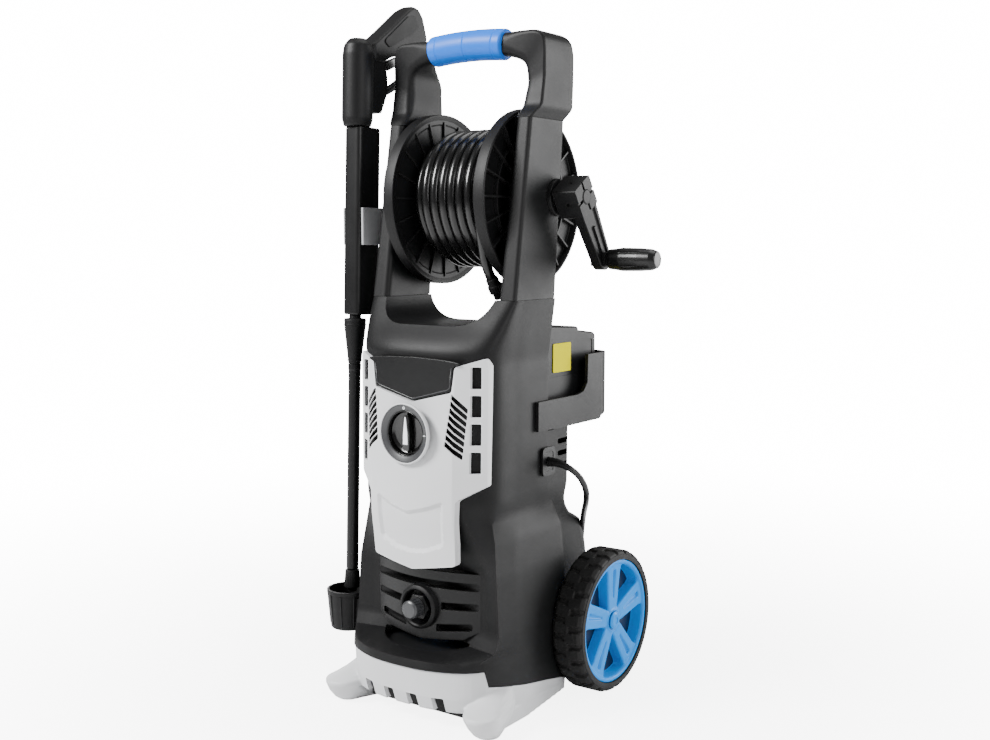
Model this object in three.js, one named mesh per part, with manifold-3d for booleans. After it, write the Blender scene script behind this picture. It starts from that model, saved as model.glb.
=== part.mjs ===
// A wheeled electric pressure washer with a hose reel, a spray gun on its lance and a detergent tank.
// Millimetres. +Z is up, the front faces -Y and +X is the crank side.
// Pieces are laid out in the machine's own frame: X = 0 is its mirror plane, Y = 0 the wheel axle,
// Z = 0 the floor.
import * as THREE from "three";
import { mergeVertices } from "three/addons/utils/BufferGeometryUtils.js";
import Module from "manifold-3d";

const wasm = await Module();
wasm.setup();

// ---------------------------------------------------------------- driving dimensions
const GAP = 0.3;               // air left between neighbouring pieces
const WALL = 3;                // moulded wall
const WHEEL_R = 95;
const RIM_R = 82.4;
const TYRE_W = 45;
const WHEEL_FACE = 164;        // outer face of each tyre, from the mirror plane
const AXLE_R = 6;
const AXLE_Z = WHEEL_R;
const SEAM_Z = 529;            // joint between the front shell and the columns
const SEAM_Y = -80;            // joint between the front and rear shells
const SKIRT_SEAM_Y = -55;      // the same joint down at the skirt
const COLUMN_TOP = 752;
const COLUMN_IN = 88;          // inner face of a column, from the mirror plane
const COLUMN_OUT = 114;
const REEL = { y: -76, z: 656 };
const FLANGE_R = 112.4;
const FLANGE_X = 66;           // inner face of each reel flange
const DRUM_R = 42;
const WINDING_R = 90;
const SHAFT_R = 9;
const CRANK_X = 146;           // inner face of the crank arm
const CRANK_PIN = { y: -24, z: 578 };
const KNOB = { y: -238, z: 366, r: 27 };
const BEZEL_R = 38;
const INLET_Z = 141;
const BAR = { y: -106, z: 849, r: 13.5, drop: 9 };   // an arched bar: its ends lie lower by drop
const GRIP_HALF = 58;
const GUN_X = -150;
const GUN_FOOT_Y = -181.6;     // where the lance's axis meets the floor plane
const GUN_LEAN = 0.035;        // the lance leans back, radians
const CUP = { x: -150, y: -183, r: 29, z0: 78, z1: 132 };
const TANK = { x: 92, y0: -70, y1: 62, z0: 366, z1: 492 };
const CORD_R = 4;
const COIL = { x: -20, y: 140, inner: 32, outer: 64, height: 32 };

// ---------------------------------------------------------------- solids
const v3 = (x, y, z) => new THREE.Vector3(x, y, z);

/** A closed geometry as a solid, its faces turned outwards. */
function toSolid(geometry) {
  geometry.deleteAttribute("normal");
  geometry.deleteAttribute("uv");
  const merged = mergeVertices(geometry, 1e-4);
  const index = merged.index.array;
  const position = merged.attributes.position;
  const triangles = [];
  const [a, b, c] = [v3(), v3(), v3()];
  let volume = 0;
  for (let i = 0; i < index.length; i += 3) {
    const [i0, i1, i2] = [index[i], index[i + 1], index[i + 2]];
    if (i0 === i1 || i1 === i2 || i0 === i2) continue;
    triangles.push([i0, i1, i2]);
    a.fromBufferAttribute(position, i0);
    b.fromBufferAttribute(position, i1);
    c.fromBufferAttribute(position, i2);
    volume += a.dot(b.cross(c));
  }
  if (volume < 0) triangles.forEach((triangle) => triangle.reverse());
  return new wasm.Manifold(new wasm.Mesh({
    numProp: 3,
    vertProperties: new Float32Array(position.array),
    triVerts: new Uint32Array(triangles.flat()),
  }));
}

function toGeometry(solid) {
  const mesh = solid.getMesh();
  const geometry = new THREE.BufferGeometry();
  geometry.setAttribute("position", new THREE.BufferAttribute(new Float32Array(mesh.vertProperties), 3));
  geometry.setIndex(new THREE.BufferAttribute(new Uint32Array(mesh.triVerts), 1));
  geometry.computeVertexNormals();
  return geometry;
}

const join = (...solids) => solids.reduce((whole, solid) => whole.add(solid));
const cut = (solid, ...tools) => tools.reduce((rest, tool) => rest.subtract(tool), solid);

/** Turns a geometry made about its own Y axis, so that the axis lies along "x", "y" or "z". */
function aim(geometry, axis) {
  if (axis === "x") geometry.rotateZ(-Math.PI / 2);
  if (axis === "z") geometry.rotateX(Math.PI / 2);
  return geometry;
}

function block([x0, x1], [y0, y1], [z0, z1]) {
  const box = new THREE.BoxGeometry(x1 - x0, y1 - y0, z1 - z0);
  return toSolid(box.translate((x0 + x1) / 2, (y0 + y1) / 2, (z0 + z1) / 2));
}

/** Where the two coordinates across an axis go. */
function across(axis, u, v, along = 0) {
  if (axis === "x") return [along, u, v];
  if (axis === "y") return [u, along, v];
  return [u, v, along];
}

/** A round bar from one place on an axis to another; centre holds its two other coordinates. */
function rod(axis, radius, [from, to], centre, sides = 16) {
  const bar = aim(new THREE.CylinderGeometry(radius, radius, to - from, sides), axis);
  return toSolid(bar.translate(...across(axis, ...centre, (from + to) / 2)));
}

/** A profile of [radius, place along the axis] points, closed on itself or on the axis, turned round. */
function turned(axis, profile, centre, sides = 16) {
  const points = profile.map(([radius, along]) => new THREE.Vector2(radius, along));
  return toSolid(aim(new THREE.LatheGeometry(points, sides), axis).translate(...across(axis, ...centre)));
}

/** A ring of rectangular section. */
function ring(axis, inner, outer, [from, to], centre, sides = 16) {
  const profile = [[inner, from], [outer, from], [outer, to], [inner, to], [inner, from]];
  return turned(axis, profile, centre, sides);
}

/** An outline drawn across an axis and extruded along it. */
function prism(axis, outline, [from, to]) {
  const shape = outline instanceof THREE.Shape
    ? outline
    : new THREE.Shape(outline.map(([u, v]) => new THREE.Vector2(u, v)));
  const body = new THREE.ExtrudeGeometry(shape, { depth: to - from, bevelEnabled: false, curveSegments: 6 });
  body.translate(0, 0, from);
  if (axis === "x") body.applyMatrix4(new THREE.Matrix4().set(0, 0, 1, 0, 1, 0, 0, 0, 0, 1, 0, 0, 0, 0,
    0, 1));
  if (axis === "y") body.applyMatrix4(new THREE.Matrix4().set(1, 0, 0, 0, 0, 0, 1, 0, 0, 1, 0, 0, 0, 0,
    0, 1));
  return toSolid(body);
}

/** Fills a ring of points by a strip of triangles that runs between its two ends. */
function stripCap(count) {
  const faces = [];
  let [low, high] = [0, count - 1];
  while (high - low > 1) {
    faces.push([low, low + 1, high]);
    low += 1;
    if (high - low > 1) faces.push([low, high - 1, high]);
    high -= 1;
  }
  return faces;
}

/** A skin over rings of equally many points, closed by a flat cap at each end. */
function loft(rings) {
  const count = rings[0].length;
  const positions = rings.flat().flatMap((point) => [point.x, point.y, point.z]);
  const faces = [];
  for (let level = 0; level + 1 < rings.length; level++) {
    for (let i = 0; i < count; i++) {
      const [low, next] = [level * count + i, level * count + (i + 1) % count];
      faces.push(low, next, next + count, low, next + count, low + count);
    }
  }
  const top = (rings.length - 1) * count;
  for (const [a, b, c] of stripCap(count)) faces.push(a, c, b, top + a, top + b, top + c);
  const skin = new THREE.BufferGeometry();
  skin.setAttribute("position", new THREE.Float32BufferAttribute(positions, 3));
  skin.setIndex(faces);
  return toSolid(skin);
}

/** A round bar along a smooth curve through points. */
function tube(points, radius, sides, steps) {
  const path = new THREE.CatmullRomCurve3(points.map((point) => v3(...point)), false, "centripetal");
  const section = new THREE.Shape().absarc(0, 0, radius, 0, 2 * Math.PI);
  const outline = new THREE.Shape(section.getPoints(sides / 2));
  return toSolid(new THREE.ExtrudeGeometry(outline, { steps, extrudePath: path, bevelEnabled: false }));
}

/** A rectangle with round corners, as a shape. */
function roundedRect([u0, u1], [v0, v1], radius) {
  const shape = new THREE.Shape();
  shape.absarc(u1 - radius, v0 + radius, radius, -Math.PI / 2, 0);
  shape.absarc(u1 - radius, v1 - radius, radius, 0, Math.PI / 2);
  shape.absarc(u0 + radius, v1 - radius, radius, Math.PI / 2, Math.PI);
  shape.absarc(u0 + radius, v0 + radius, radius, Math.PI, Math.PI * 1.5);
  return shape;
}

// ---------------------------------------------------------------- materials
const plastic = (color, roughness) => new THREE.MeshStandardMaterial({ color, roughness, metalness: 0 });
const metal = (color, roughness) => new THREE.MeshStandardMaterial({ color, roughness, metalness: 1 });
const FINISH = {
  black: plastic(0x1b1b1c, 0.55),
  glossBlack: plastic(0x0b0b0c, 0.25),
  lightGrey: plastic(0xd0d1d3, 0.5),
  midGrey: plastic(0x6f7072, 0.5),
  bezel: plastic(0x3a3b3d, 0.35),
  blue: plastic(0x2a86ea, 0.5),
  hubBlue: plastic(0x4fb4f5, 0.4),
  rubber: plastic(0x202020, 0.85),
  yellow: plastic(0xf0ee20, 0.5),
  steel: metal(0xb8babd, 0.3),
  brass: metal(0xb08d4a, 0.35),
  aluminium: metal(0xa9abae, 0.45),
};

const machine = new THREE.Group();

/** Adds one named piece to a group. */
function piece(name, solid, finish, group = machine) {
  const mesh = new THREE.Mesh(toGeometry(solid), finish);
  mesh.name = name;
  group.add(mesh);
  return mesh;
}

// ---------------------------------------------------------------- the front shell
// One level of the shell's outside: its height, rear edge, half width, where the side starts to turn in,
// the shoulder, the facet's end and the nose on the mirror plane.
const level = (z, rear, width, side, shoulder, facet, nose) => ({ z, rear, width, side, shoulder,
  facet, nose });
const SHELL = [
  level(20, SKIRT_SEAM_Y, 117.5, -165, [99, -226], [54, -250], -256),
  level(78, SKIRT_SEAM_Y, 118.3, -165, [101, -229], [55, -257], -264),
  level(88, SKIRT_SEAM_Y, 118.3, -165, [101, -228], [55, -255.5], -262),
  level(92, SKIRT_SEAM_Y, 118.3, -165, [103, -222], [60, -241], -246),
  level(97, SKIRT_SEAM_Y, 118.3, -165, [110, -210], [84, -204], -188),
  level(117, SKIRT_SEAM_Y, 118, -165, [115, -191], [90, -187], -187),
  level(190, SKIRT_SEAM_Y, 113.5, -165, [110, -191], [88, -190], -190),
  level(232, SKIRT_SEAM_Y, 107, -160, [104, -193], [80, -207], -218),
  level(262, -66, 100.5, -150, [98, -198], [68, -218], -226),
  level(282, SEAM_Y, 103.5, -150, [100.5, -198], [66, -220], -226),
  level(455, SEAM_Y, 104, -150, [99, -198], [62, -217], -222),
  level(462, SEAM_Y, 105, -150, [99.5, -200], [62, -218], -223),
  level(499, SEAM_Y, 110, -150, [107, -185], [64, -196], -199),
  level(SEAM_Z, SEAM_Y, COLUMN_OUT, -150, [112, -169], [64, -174], -176),
];

/** The level's outline, anticlockwise from its rear right corner round the nose to the rear left one. */
function shellRing({ z, rear, width, side, shoulder, facet, nose }, inset = 0, rearShift = 0) {
  const half = [[width, rear + rearShift], [width, (rear + side) / 2], [width, side], shoulder, facet];
  const right = half.map(([x, y]) => v3(x, y, z));
  const left = half.map(([x, y]) => v3(-x, y, z)).reverse();
  const curve = new THREE.CatmullRomCurve3([...right, v3(0, nose, z), ...left], false, "centripetal");
  const outline = curve.getPoints(20);
  return outline.map((point, i) => {
    const before = outline[Math.max(i - 1, 0)];
    const after = outline[Math.min(i + 1, outline.length - 1)];
    const inward = v3(after.y - before.y, before.x - after.x, 0).normalize();
    return point.clone().addScaledVector(inward, inset);
  });
}

const THROAT = { floor: 497, half: COLUMN_IN, corner: 50 };

/** The opening between the columns, with a round-cornered floor. */
function throatCut() {
  const { floor, half, corner } = THROAT;
  return prism("y", roundedRect([-half, half], [floor, SEAM_Z + 3 * corner], corner), [-300, 0]);
}

/** What lies under the shell's lower edge: level along the lip, then stepped down and falling to the rear. */
function underSkirt(clearance) {
  const edge = [[-300, 78], [-222, 78], [-216, 57], [0, 15]].map(([y, z]) => [y, z - clearance]);
  return prism("x", [[-300, -50], ...edge, [0, -50]], [-200, 200]);
}

const pipeHole = rod("z", 8, [470, SEAM_Z + 5], [-101, -122], 16);

const innerLevels = SHELL.filter(({ z }) => z < 470).map((row) => shellRing(row, WALL, 20));
innerLevels.push(shellRing({ ...SHELL.find(({ z }) => z === 499), z: 488 }, WALL + 2, 20));
piece("front_housing", cut(
  loft(SHELL.map((row) => shellRing(row))),
  loft(innerLevels),
  underSkirt(0),
  throatCut(),
  rod("y", 9, [-240, -200], [0, KNOB.z]),
  rod("y", 20, [-200, -170], [0, INLET_Z]),
  pipeHole,
), FINISH.black);

// ---------------------------------------------------------------- the rear shell
const rearLevel = (z, front, width, back, corner) => ({ z, front, width, back, corner });
const REAR = [
  rearLevel(20, SKIRT_SEAM_Y, 84, 60, 18),
  rearLevel(160, SKIRT_SEAM_Y, 85, 60, 18),
  rearLevel(218, SKIRT_SEAM_Y, 85, 42, 18),
  rearLevel(232, SKIRT_SEAM_Y, 86, 12, 14),
  rearLevel(262, -66, 93, -14, 12),
  rearLevel(282, SEAM_Y, 95, -11, 12),
  rearLevel(355, SEAM_Y, 95, -10, 12),
];

/** One level of the rear shell: a rectangle whose two back corners are round. */
function rearRing({ z, front, width, back, corner }, inset = 0, frontShift = GAP) {
  const [w, b] = [width - inset, back - inset];
  const shape = new THREE.Shape();
  shape.moveTo(-w, front + frontShift);
  shape.lineTo(w, front + frontShift);
  shape.absarc(w - corner, b - corner, corner, 0, Math.PI / 2);
  shape.absarc(-w + corner, b - corner, corner, Math.PI / 2, Math.PI);
  return shape.getPoints(2).map((point) => v3(point.x, point.y, z));
}

const LOUVRE_Z = [318, 334];

/** The cooling slots in both sides of the rear shell. */
function louvres() {
  const slots = LOUVRE_Z.map((z) => block([-120, 120], [-40, -18], [z, z + 7]));
  return join(...slots);
}

const backPlate = block([-86, 86], [SEAM_Y + GAP, SEAM_Y + 6], [350, 494]);
const axleBoss = (from, to) => rod("x", 15, [from, to], [0, AXLE_Z]);
piece("rear_housing", cut(
  join(
    cut(loft(REAR.map((row) => rearRing(row))),
      loft(REAR.map((row) => rearRing({ ...row, z: row.z === 355 ? 355 - WALL : row.z }, WALL, -20)))),
    axleBoss(-117.5, -80), axleBoss(80, 117.5), backPlate,
  ),
  louvres(),
  rod("x", AXLE_R + GAP, [-130, 130], [0, AXLE_Z]),
), FINISH.black);

// ---------------------------------------------------------------- the base
const TOE = { x: 110.5, y: -238, r: 23.3 };

/** A foot that swells out of the base's corner: small on the floor, widest just above it. */
function toe(side) {
  const rows = [[0, 113, -226, 12], [4, 113, -228, 15], [26, TOE.x, TOE.y, TOE.r],
    [35, TOE.x - 2, TOE.y, TOE.r - 1],
    [42, 102, -233, 20], [50, 97, -225, 13]];
  return loft(rows.map(([z, x, y, radius]) => {
    const circle = new THREE.EllipseCurve(side * x, y, radius, radius, 0, 2 * Math.PI);
    return circle.getPoints(12).slice(0, 12).map((point) => v3(point.x, point.y, z));
  }));
}

/** The rail that carries the side of the base from its toe towards the wheels. */
function footRail(side) {
  const outline = [[-228, 0], [-150, 0], [-58, 10], [-58, 20], [-228, 20]];
  return prism("x", outline, side > 0 ? [98, 118] : [-118, -98]);
}

const BASE_SLOTS = [-56.6, -18.7, 18.7, 56.6];
const baseLevels = [
  level(11, SKIRT_SEAM_Y, 116, -165, [94, -220], [50, -238], -243),
  level(27, SKIRT_SEAM_Y, 118, -165, [97, -225], [53, -246], -251),
  level(42, SKIRT_SEAM_Y, 119, -165, [99, -227], [54, -251], -256.5),
  level(78 - GAP, SKIRT_SEAM_Y, 120, -165, [100, -228], [55, -255.5], -262.5),
];
const trayInside = baseLevels.map((row, i) => shellRing({ ...row, z: i === 0 ? 16 : row.z + 5 }, 5, -6));
const skirtClear = cut(block([-200, 200], [-230, 10], [0, 100]), underSkirt(GAP));
piece("base_tray", cut(
  join(
    cut(loft(baseLevels.map((row) => shellRing(row))), loft(trayInside)),
    cut(join(toe(-1), toe(1), footRail(-1), footRail(1)), loft(trayInside)),
  ),
  skirtClear,
  ...BASE_SLOTS.map((x) => block([x - 6.5, x + 6.5], [-270, -236], [-5, 42.5])),
), FINISH.lightGrey);

// ---------------------------------------------------------------- the cover, the knob and the badge
// How far forward the cover stands: its nose on the mirror plane and the edges of its flat centre.
const COVER = [
  { z: 190, nose: -231.5, edge: -225.5, tail: -204 },
  { z: 228, nose: -237, edge: -229, tail: -206 },
  { z: 268, nose: -243, edge: -233, tail: -206 },
  { z: 315, nose: -242, edge: -233, tail: -206 },
  { z: 366, nose: -238, edge: -230.5, tail: -206 },
  { z: 404, nose: -233, edge: -228.5, tail: -206 },
  { z: 465, nose: -230, edge: -226.5, tail: -206 },
];
const COVER_T = 4;

/** The cover's section at one height: a crowned centre with a facet folded back on each side. */
function coverRing({ z, nose, edge, tail }) {
  const outside = [[103, tail], [64, edge], [32, (3 * nose + edge) / 4], [0, nose],
    [-32, (3 * nose + edge) / 4], [-64, edge], [-103, tail]];
  const inside = outside.map(([x, y]) => [x * 0.985, y + COVER_T]).reverse();
  return [...outside, ...inside].map(([x, y]) => v3(x, y, z));
}

const COVER_EDGE = [[0, 193], [64, 204], [67, 286], [99, 305], [100, 452], [97, 461], [64, 450],
  [60, 419], [0, 404]];
const coverOutline = [...COVER_EDGE, ...COVER_EDGE.slice(1, -1).reverse().map(([x, z]) => [-x, z])];
const WINDOW_Z = [323, 358, 393, 428];
const SLATS = 4;

/** Four windows in the facet and a stack of slanted vents beside it, on one side. */
function coverCuts(side) {
  const order = ([a, b]) => (a < b ? [a, b] : [b, a]);
  const windows = WINDOW_Z.map((z) => block(order([side * 82.5, side * 92.5]), [-260, -190], [z, z + 24]));
  const vents = Array.from({ length: SLATS }, (_, i) => {
    const [inner, outer] = [351 + i * 17, 342 + i * 16];
    const slant = [[54, inner], [71, outer], [71, outer + 9], [54, inner + 9]];
    return prism("y", slant.map(([x, z]) => [side * (x + i), z]), [-260, -190]);
  });
  return join(...windows, ...vents);
}

piece("front_cover", cut(
  loft(COVER.map(coverRing)).intersect(prism("y", coverOutline, [-260, -190])),
  coverCuts(-1), coverCuts(1),
  rod("y", KNOB.r + 4, [-260, -200], [0, KNOB.z], 28),
), FINISH.lightGrey);

const BADGE = [[0, 405], [59, 420], [62.5, 450], [78, 456.5], [40, 459], [0, 460]];
const badgeOutline = [...BADGE, ...BADGE.slice(1, -1).reverse().map(([x, z]) => [-x, z])];
piece("badge_panel", prism("y", badgeOutline.map(([x, z]) => [x * 0.985, z]), [-227, -224]), FINISH.black);

piece("switch_bezel", turned("y", [
  [KNOB.r + 1, -236], [KNOB.r + 2.5, -246], [BEZEL_R - 4, -247], [BEZEL_R, -244], [BEZEL_R, -242.6],
  [KNOB.r + 2.7, -242.6], [KNOB.r + 2.7, -230], [KNOB.r + 1, -230], [KNOB.r + 1, -236],
], [0, KNOB.z], 24), FINISH.bezel);

piece("switch_knob", join(
  rod("y", KNOB.r, [-237, -229], [0, KNOB.z], 28),
  block([-8, 8], [-243, -236], [KNOB.z - 23, KNOB.z + 23]),
  rod("y", 7, [-230, -196], [0, KNOB.z], 20),
), FINISH.glossBlack);

piece("switch_box", block([-20, 20], [-195.5, -160], [KNOB.z - 26, KNOB.z + 26]), FINISH.midGrey);

// ---------------------------------------------------------------- the lower recess
const GRILLE = [[-88, -196], [-60, -206], [-30, -213.5], [0, -216.5], [30, -213.5], [60, -206], [88, -196]];
const GRILLE_EDGE = [[-88, 121], [-60, 105], [0, 100], [60, 105], [88, 121], [88, 190], [-88, 190]];

/** The bowed slatted panel, with three gaps on each side of a collar for the port. */
function grille() {
  const bow = [...GRILLE, ...GRILLE.map(([x, y]) => [x, y + 4]).reverse()];
  const panel = prism("z", bow, [95, 195]).intersect(prism("y", GRILLE_EDGE, [-240, -180]));
  const gaps = [[113, 56], [136, 78], [163, 78]].map(([z, x]) => block([-x, x], [-230, -180], [z, z + 9]));
  const slats = join(cut(panel, ...gaps), block([-27, 27], [-214, -209], [104, 188]));
  return join(cut(slats, rod("y", 23, [-230, -200], [0, INLET_Z])), ring("y", 22, 29, [-224, -208],
    [0, INLET_Z]));
}

piece("recess_grille", grille(), FINISH.black);
piece("water_inlet", cut(
  join(rod("y", 14, [-222, -150], [0, INLET_Z]), rod("y", 17, [-221, -214], [0, INLET_Z], 6)),
  rod("y", 8, [-223, -152], [0, INLET_Z]),
), FINISH.black);
piece("inlet_cap", join(
  rod("y", 12, [-240, -222.3], [0, INLET_Z]),
  rod("y", 7.5, [-223, -205], [0, INLET_Z], 12),
), FINISH.midGrey);

// ---------------------------------------------------------------- the columns and the handle
/** A column's outline at a height, with its front nose narrower than its back. */
function columnRing(side, z, [inner, outer], [front, rear], inset = 0) {
  const [x0, x1, y0, y1] = [inner + inset, outer - inset, front + inset, rear - inset];
  const nose = 7;
  const outline = [[x0, y1], [x0, y0 + nose], [x0 + 9, y0], [x1 - 5, y0],
    [x1, y0 + nose], [x1, y1 - 3], [x1 - 3, y1]];
  return outline.map(([x, y]) => v3(side * x, y, z));
}

const COLUMN_FOOT = [-171, -80];
const COLUMN_HEAD = [-135, -58];

function column(side) {
  const outside = loft([
    columnRing(side, SEAM_Z + GAP, [COLUMN_IN, COLUMN_OUT], COLUMN_FOOT),
    columnRing(side, COLUMN_TOP, [90, 112], COLUMN_HEAD),
  ]);
  const inside = loft([
    columnRing(side, SEAM_Z - 1, [COLUMN_IN, COLUMN_OUT], COLUMN_FOOT, WALL),
    columnRing(side, COLUMN_TOP - 8, [90, 112], COLUMN_HEAD, WALL),
  ]);
  return cut(outside, inside, rod("x", 16 + GAP, side > 0 ? [80, 120] : [-120, -80], [REEL.y, REEL.z], 28));
}

piece("column_left", column(-1), FINISH.black);
piece("column_right", column(1), FINISH.black);

/** One upright of the handle: it flares out over the column and leans back to the bar. */
function handlePost(side) {
  const rows = [
    [COLUMN_TOP + GAP, -135, [112, -97], -58], [769, -122, [119.5, -80], -48], [800, -115, [119.5, -76], -46],
    [840, -107, [119, -70], -45], [853, -101, [114, -68], -49], [859, -94, [104, -70], -56],
  ];
  return loft(rows.map(([z, front, [midX, midY], rear]) => {
    const outline = [[91, rear], [89, front + 8], [92, front + 2], [98, front - 1], [106, front],
      [111, front + 5],
      [midX, midY], [midX - 4, rear]];
    return outline.map(([x, y]) => v3(side * x, y, z));
  }));
}

/** The web that ties the bar into a corner of the handle. */
function handleWeb(side) {
  const outline = [[66, -112], [100, -112], [114, -70], [108, -50], [94, -50], [84, -78], [66, -96]];
  return prism("z", outline.map(([x, y]) => [side * x, y]), [832, 855]);
}

/** A round bar along the handle's arch, out to a distance on each side of the mirror plane. */
function archBar(radius, half, steps) {
  const places = [-1, -0.75, -0.5, -0.25, 0, 0.25, 0.5, 0.75, 1].map((t) => t * half);
  return tube(places.map((x) => [x, BAR.y, BAR.z - BAR.drop * (x / 98) ** 2]), radius, 12, steps);
}

piece("carry_handle", join(handlePost(-1), handlePost(1), handleWeb(-1), handleWeb(1), archBar(BAR.r, 98, 8)),
  FINISH.black);
piece("handle_grip", cut(archBar(19.5, GRIP_HALF, 6), archBar(BAR.r + 2 * GAP, GRIP_HALF + 2, 6)),
  FINISH.blue);

// ---------------------------------------------------------------- the hose reel
const reelCentre = [REEL.y, REEL.z];

/** A reel flange: a dished disc with a deep rim. */
function flange(side) {
  const profile = [[DRUM_R - 8, 0], [105, 0], [FLANGE_R, -3], [FLANGE_R, 13], [109, 13], [107.5, 4],
    [DRUM_R - 8, 4], [DRUM_R - 8, 0]];
  return turned("x", profile.map(([r, x]) => [r, side * (FLANGE_X + x)]), reelCentre, 32);
}

piece("reel_flange_left", flange(-1), FINISH.black);
piece("reel_flange_right", flange(1), FINISH.black);

/** The drum: a barrel between the flanges, with a hub disc inside each end on the shaft. */
function drum() {
  const half = FLANGE_X + 4;
  const spool = join(
    rod("x", DRUM_R - 8 - GAP, [-half, half], reelCentre),
    rod("x", DRUM_R, [-FLANGE_X + GAP, FLANGE_X - GAP], reelCentre),
  );
  const hollows = [[-half - 1, -6], [6, half + 1]].map((span) => rod("x", DRUM_R - 12, span, reelCentre));
  return cut(spool, ...hollows, rod("x", SHAFT_R + GAP, [-half, half], reelCentre));
}

piece("reel_drum", drum(), FINISH.black);
piece("reel_shaft", rod("x", SHAFT_R, [-106, 144], reelCentre), FINISH.steel);
piece("hose_winding", turned("x", [
  [DRUM_R + GAP, -59], [WINDING_R - 14, -59], [WINDING_R, -42], [WINDING_R, 58], [WINDING_R - 12, 62],
  [DRUM_R + GAP, 62], [DRUM_R + GAP, -59],
], reelCentre, 32), FINISH.glossBlack);

const HOSE_R = 6;
const TAIL = [[50, -146.5, 588], [50, -146, 577], [51, -142, 566], [53, -136, 556], [54, -130, 547]];
piece("hose_tail", tube(TAIL, HOSE_R, 8, 8), FINISH.glossBlack);

/** A threaded hose end on the tail's last stretch. */
function hoseConnector() {
  const [from, to] = [v3(...TAIL.at(-2)), v3(...TAIL.at(-1))];
  const along = to.clone().sub(from).normalize();
  const turn = new THREE.Quaternion().setFromUnitVectors(v3(0, 1, 0), along);
  const bodyShape = new THREE.LatheGeometry([[0, 0.4], [9, 0.4], [9, 11], [7, 12], [7, 20], [0, 20]]
    .map(([r, t]) => new THREE.Vector2(r, t)), 16);
  return toSolid(bodyShape.applyQuaternion(turn).translate(to.x, to.y, to.z));
}

piece("hose_connector", hoseConnector(), FINISH.black);

const bushFor = (side) => ring("x", SHAFT_R + GAP, 16, side > 0 ? [86, 116.5] : [-116.5, -106.5], reelCentre);
piece("reel_bush_left", bushFor(-1), FINISH.midGrey);
piece("reel_bush_right", bushFor(1), FINISH.midGrey);
piece("hose_swivel", cut(
  ring("x", SHAFT_R + GAP, 14, [-106, -88], reelCentre),
  block([-110, -80], [-200, REEL.y - 20], [600, 700]),
), FINISH.brass);

// ---------------------------------------------------------------- the crank
/** The crank arm: a flat plate from the shaft's hub down to its pin. */
function crankArm() {
  const [dy, dz] = [CRANK_PIN.y - REEL.y, CRANK_PIN.z - REEL.z];
  const angle = Math.atan2(dz, dy);
  const plate = new THREE.Shape();
  plate.absarc(REEL.y, REEL.z, 21, angle + Math.PI / 2 + 0.08, angle - Math.PI / 2 - 0.08 + 2 * Math.PI);
  plate.absarc(CRANK_PIN.y, CRANK_PIN.z, 14, angle - Math.PI / 2 - 0.08, angle + Math.PI / 2 + 0.08);
  const arm = prism("x", plate, [CRANK_X, CRANK_X + 9]);
  const hub = rod("x", 19, [118, CRANK_X + 1], reelCentre, 12);
  const pin = rod("x", 5, [CRANK_X + 8, CRANK_X + 76], [CRANK_PIN.y, CRANK_PIN.z], 16);
  const ribLine = new THREE.BoxGeometry(4, 60, 4).translate(CRANK_X + 10, 50, 0);
  const rib = toSolid(ribLine.rotateX(angle).translate(0, REEL.y, REEL.z));
  return cut(join(arm, hub, pin, rib), rod("x", SHAFT_R + GAP, [110, 144 + GAP], reelCentre));
}

piece("crank_arm", crankArm(), FINISH.black);
piece("crank_grip", turned("x", [
  [5 + GAP, CRANK_X + 13.5], [13, CRANK_X + 13.5], [15, CRANK_X + 30], [14.5, CRANK_X + 60],
  [13, CRANK_X + 80],
  [9, CRANK_X + 84], [0, CRANK_X + 84], [0, CRANK_X + 77], [5 + GAP, CRANK_X + 77], [5 + GAP, CRANK_X + 13.5],
], [CRANK_PIN.y, CRANK_PIN.z], 24), FINISH.glossBlack);

// ---------------------------------------------------------------- the wheels
/** A tyre with chamfered shoulders. */
function tyre() {
  const h = TYRE_W / 2;
  return turned("x", [
    [RIM_R + GAP, -h], [WHEEL_R - 6, -h], [WHEEL_R, -h + 6], [WHEEL_R, h - 6], [WHEEL_R - 6, h],
    [RIM_R + GAP, h],
    [RIM_R + GAP, -h],
  ], [0, 0], 32);
}

/** A wheel centre: rim, dished web, five tapered spokes and a boss. */
function hub() {
  const h = TYRE_W / 2;
  const rim = turned("x", [
    [76, -h + 2], [RIM_R, -h + 2], [RIM_R, h - 1.5], [77, h - 1.5], [72, 0], [17, -1], [17, -6],
    [72, -5], [76, -h + 2],
  ], [0, 0], 32);
  const boss = rod("x", 18, [-h + 4, h - 6], [0, 0]);
  const spokes = Array.from({ length: 5 }, (_, i) => {
    const outline = [[-9, 10], [9, 10], [13, 78], [-13, 78]].map(([u, v]) => new THREE.Vector2(u, v));
    const spoke = new THREE.ExtrudeGeometry(new THREE.Shape(outline), { depth: h - 4, bevelEnabled: false });
    spoke.rotateY(Math.PI / 2).rotateX(i * 2 * Math.PI / 5);
    return toSolid(spoke.translate(-1, 0, 0));
  });
  return cut(join(rim, boss, ...spokes), rod("x", AXLE_R + GAP + 0.1, [-h, h], [0, 0]));
}

/** A wheel on its side of the machine. */
function wheel(name, side) {
  const group = new THREE.Group();
  group.position.set(side * (WHEEL_FACE - TYRE_W / 2), 0, AXLE_Z);
  group.rotation.z = side > 0 ? 0 : Math.PI;
  piece(`tyre_${name}`, tyre(), FINISH.rubber, group);
  piece(`hub_${name}`, hub(), FINISH.hubBlue, group);
  const h = TYRE_W / 2;
  const cap = turned("x", [[0, h - 4.6], [12, h - 4.6], [12, h - 3], [8, h - 1.5], [0, h - 1.5]], [0, 0]);
  piece(`wheel_cap_${name}`, cap, FINISH.hubBlue, group);
  machine.add(group);
}

wheel("left", -1);
wheel("right", 1);
piece("axle", rod("x", AXLE_R, [-157, 157], [0, AXLE_Z]), FINISH.steel);

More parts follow.
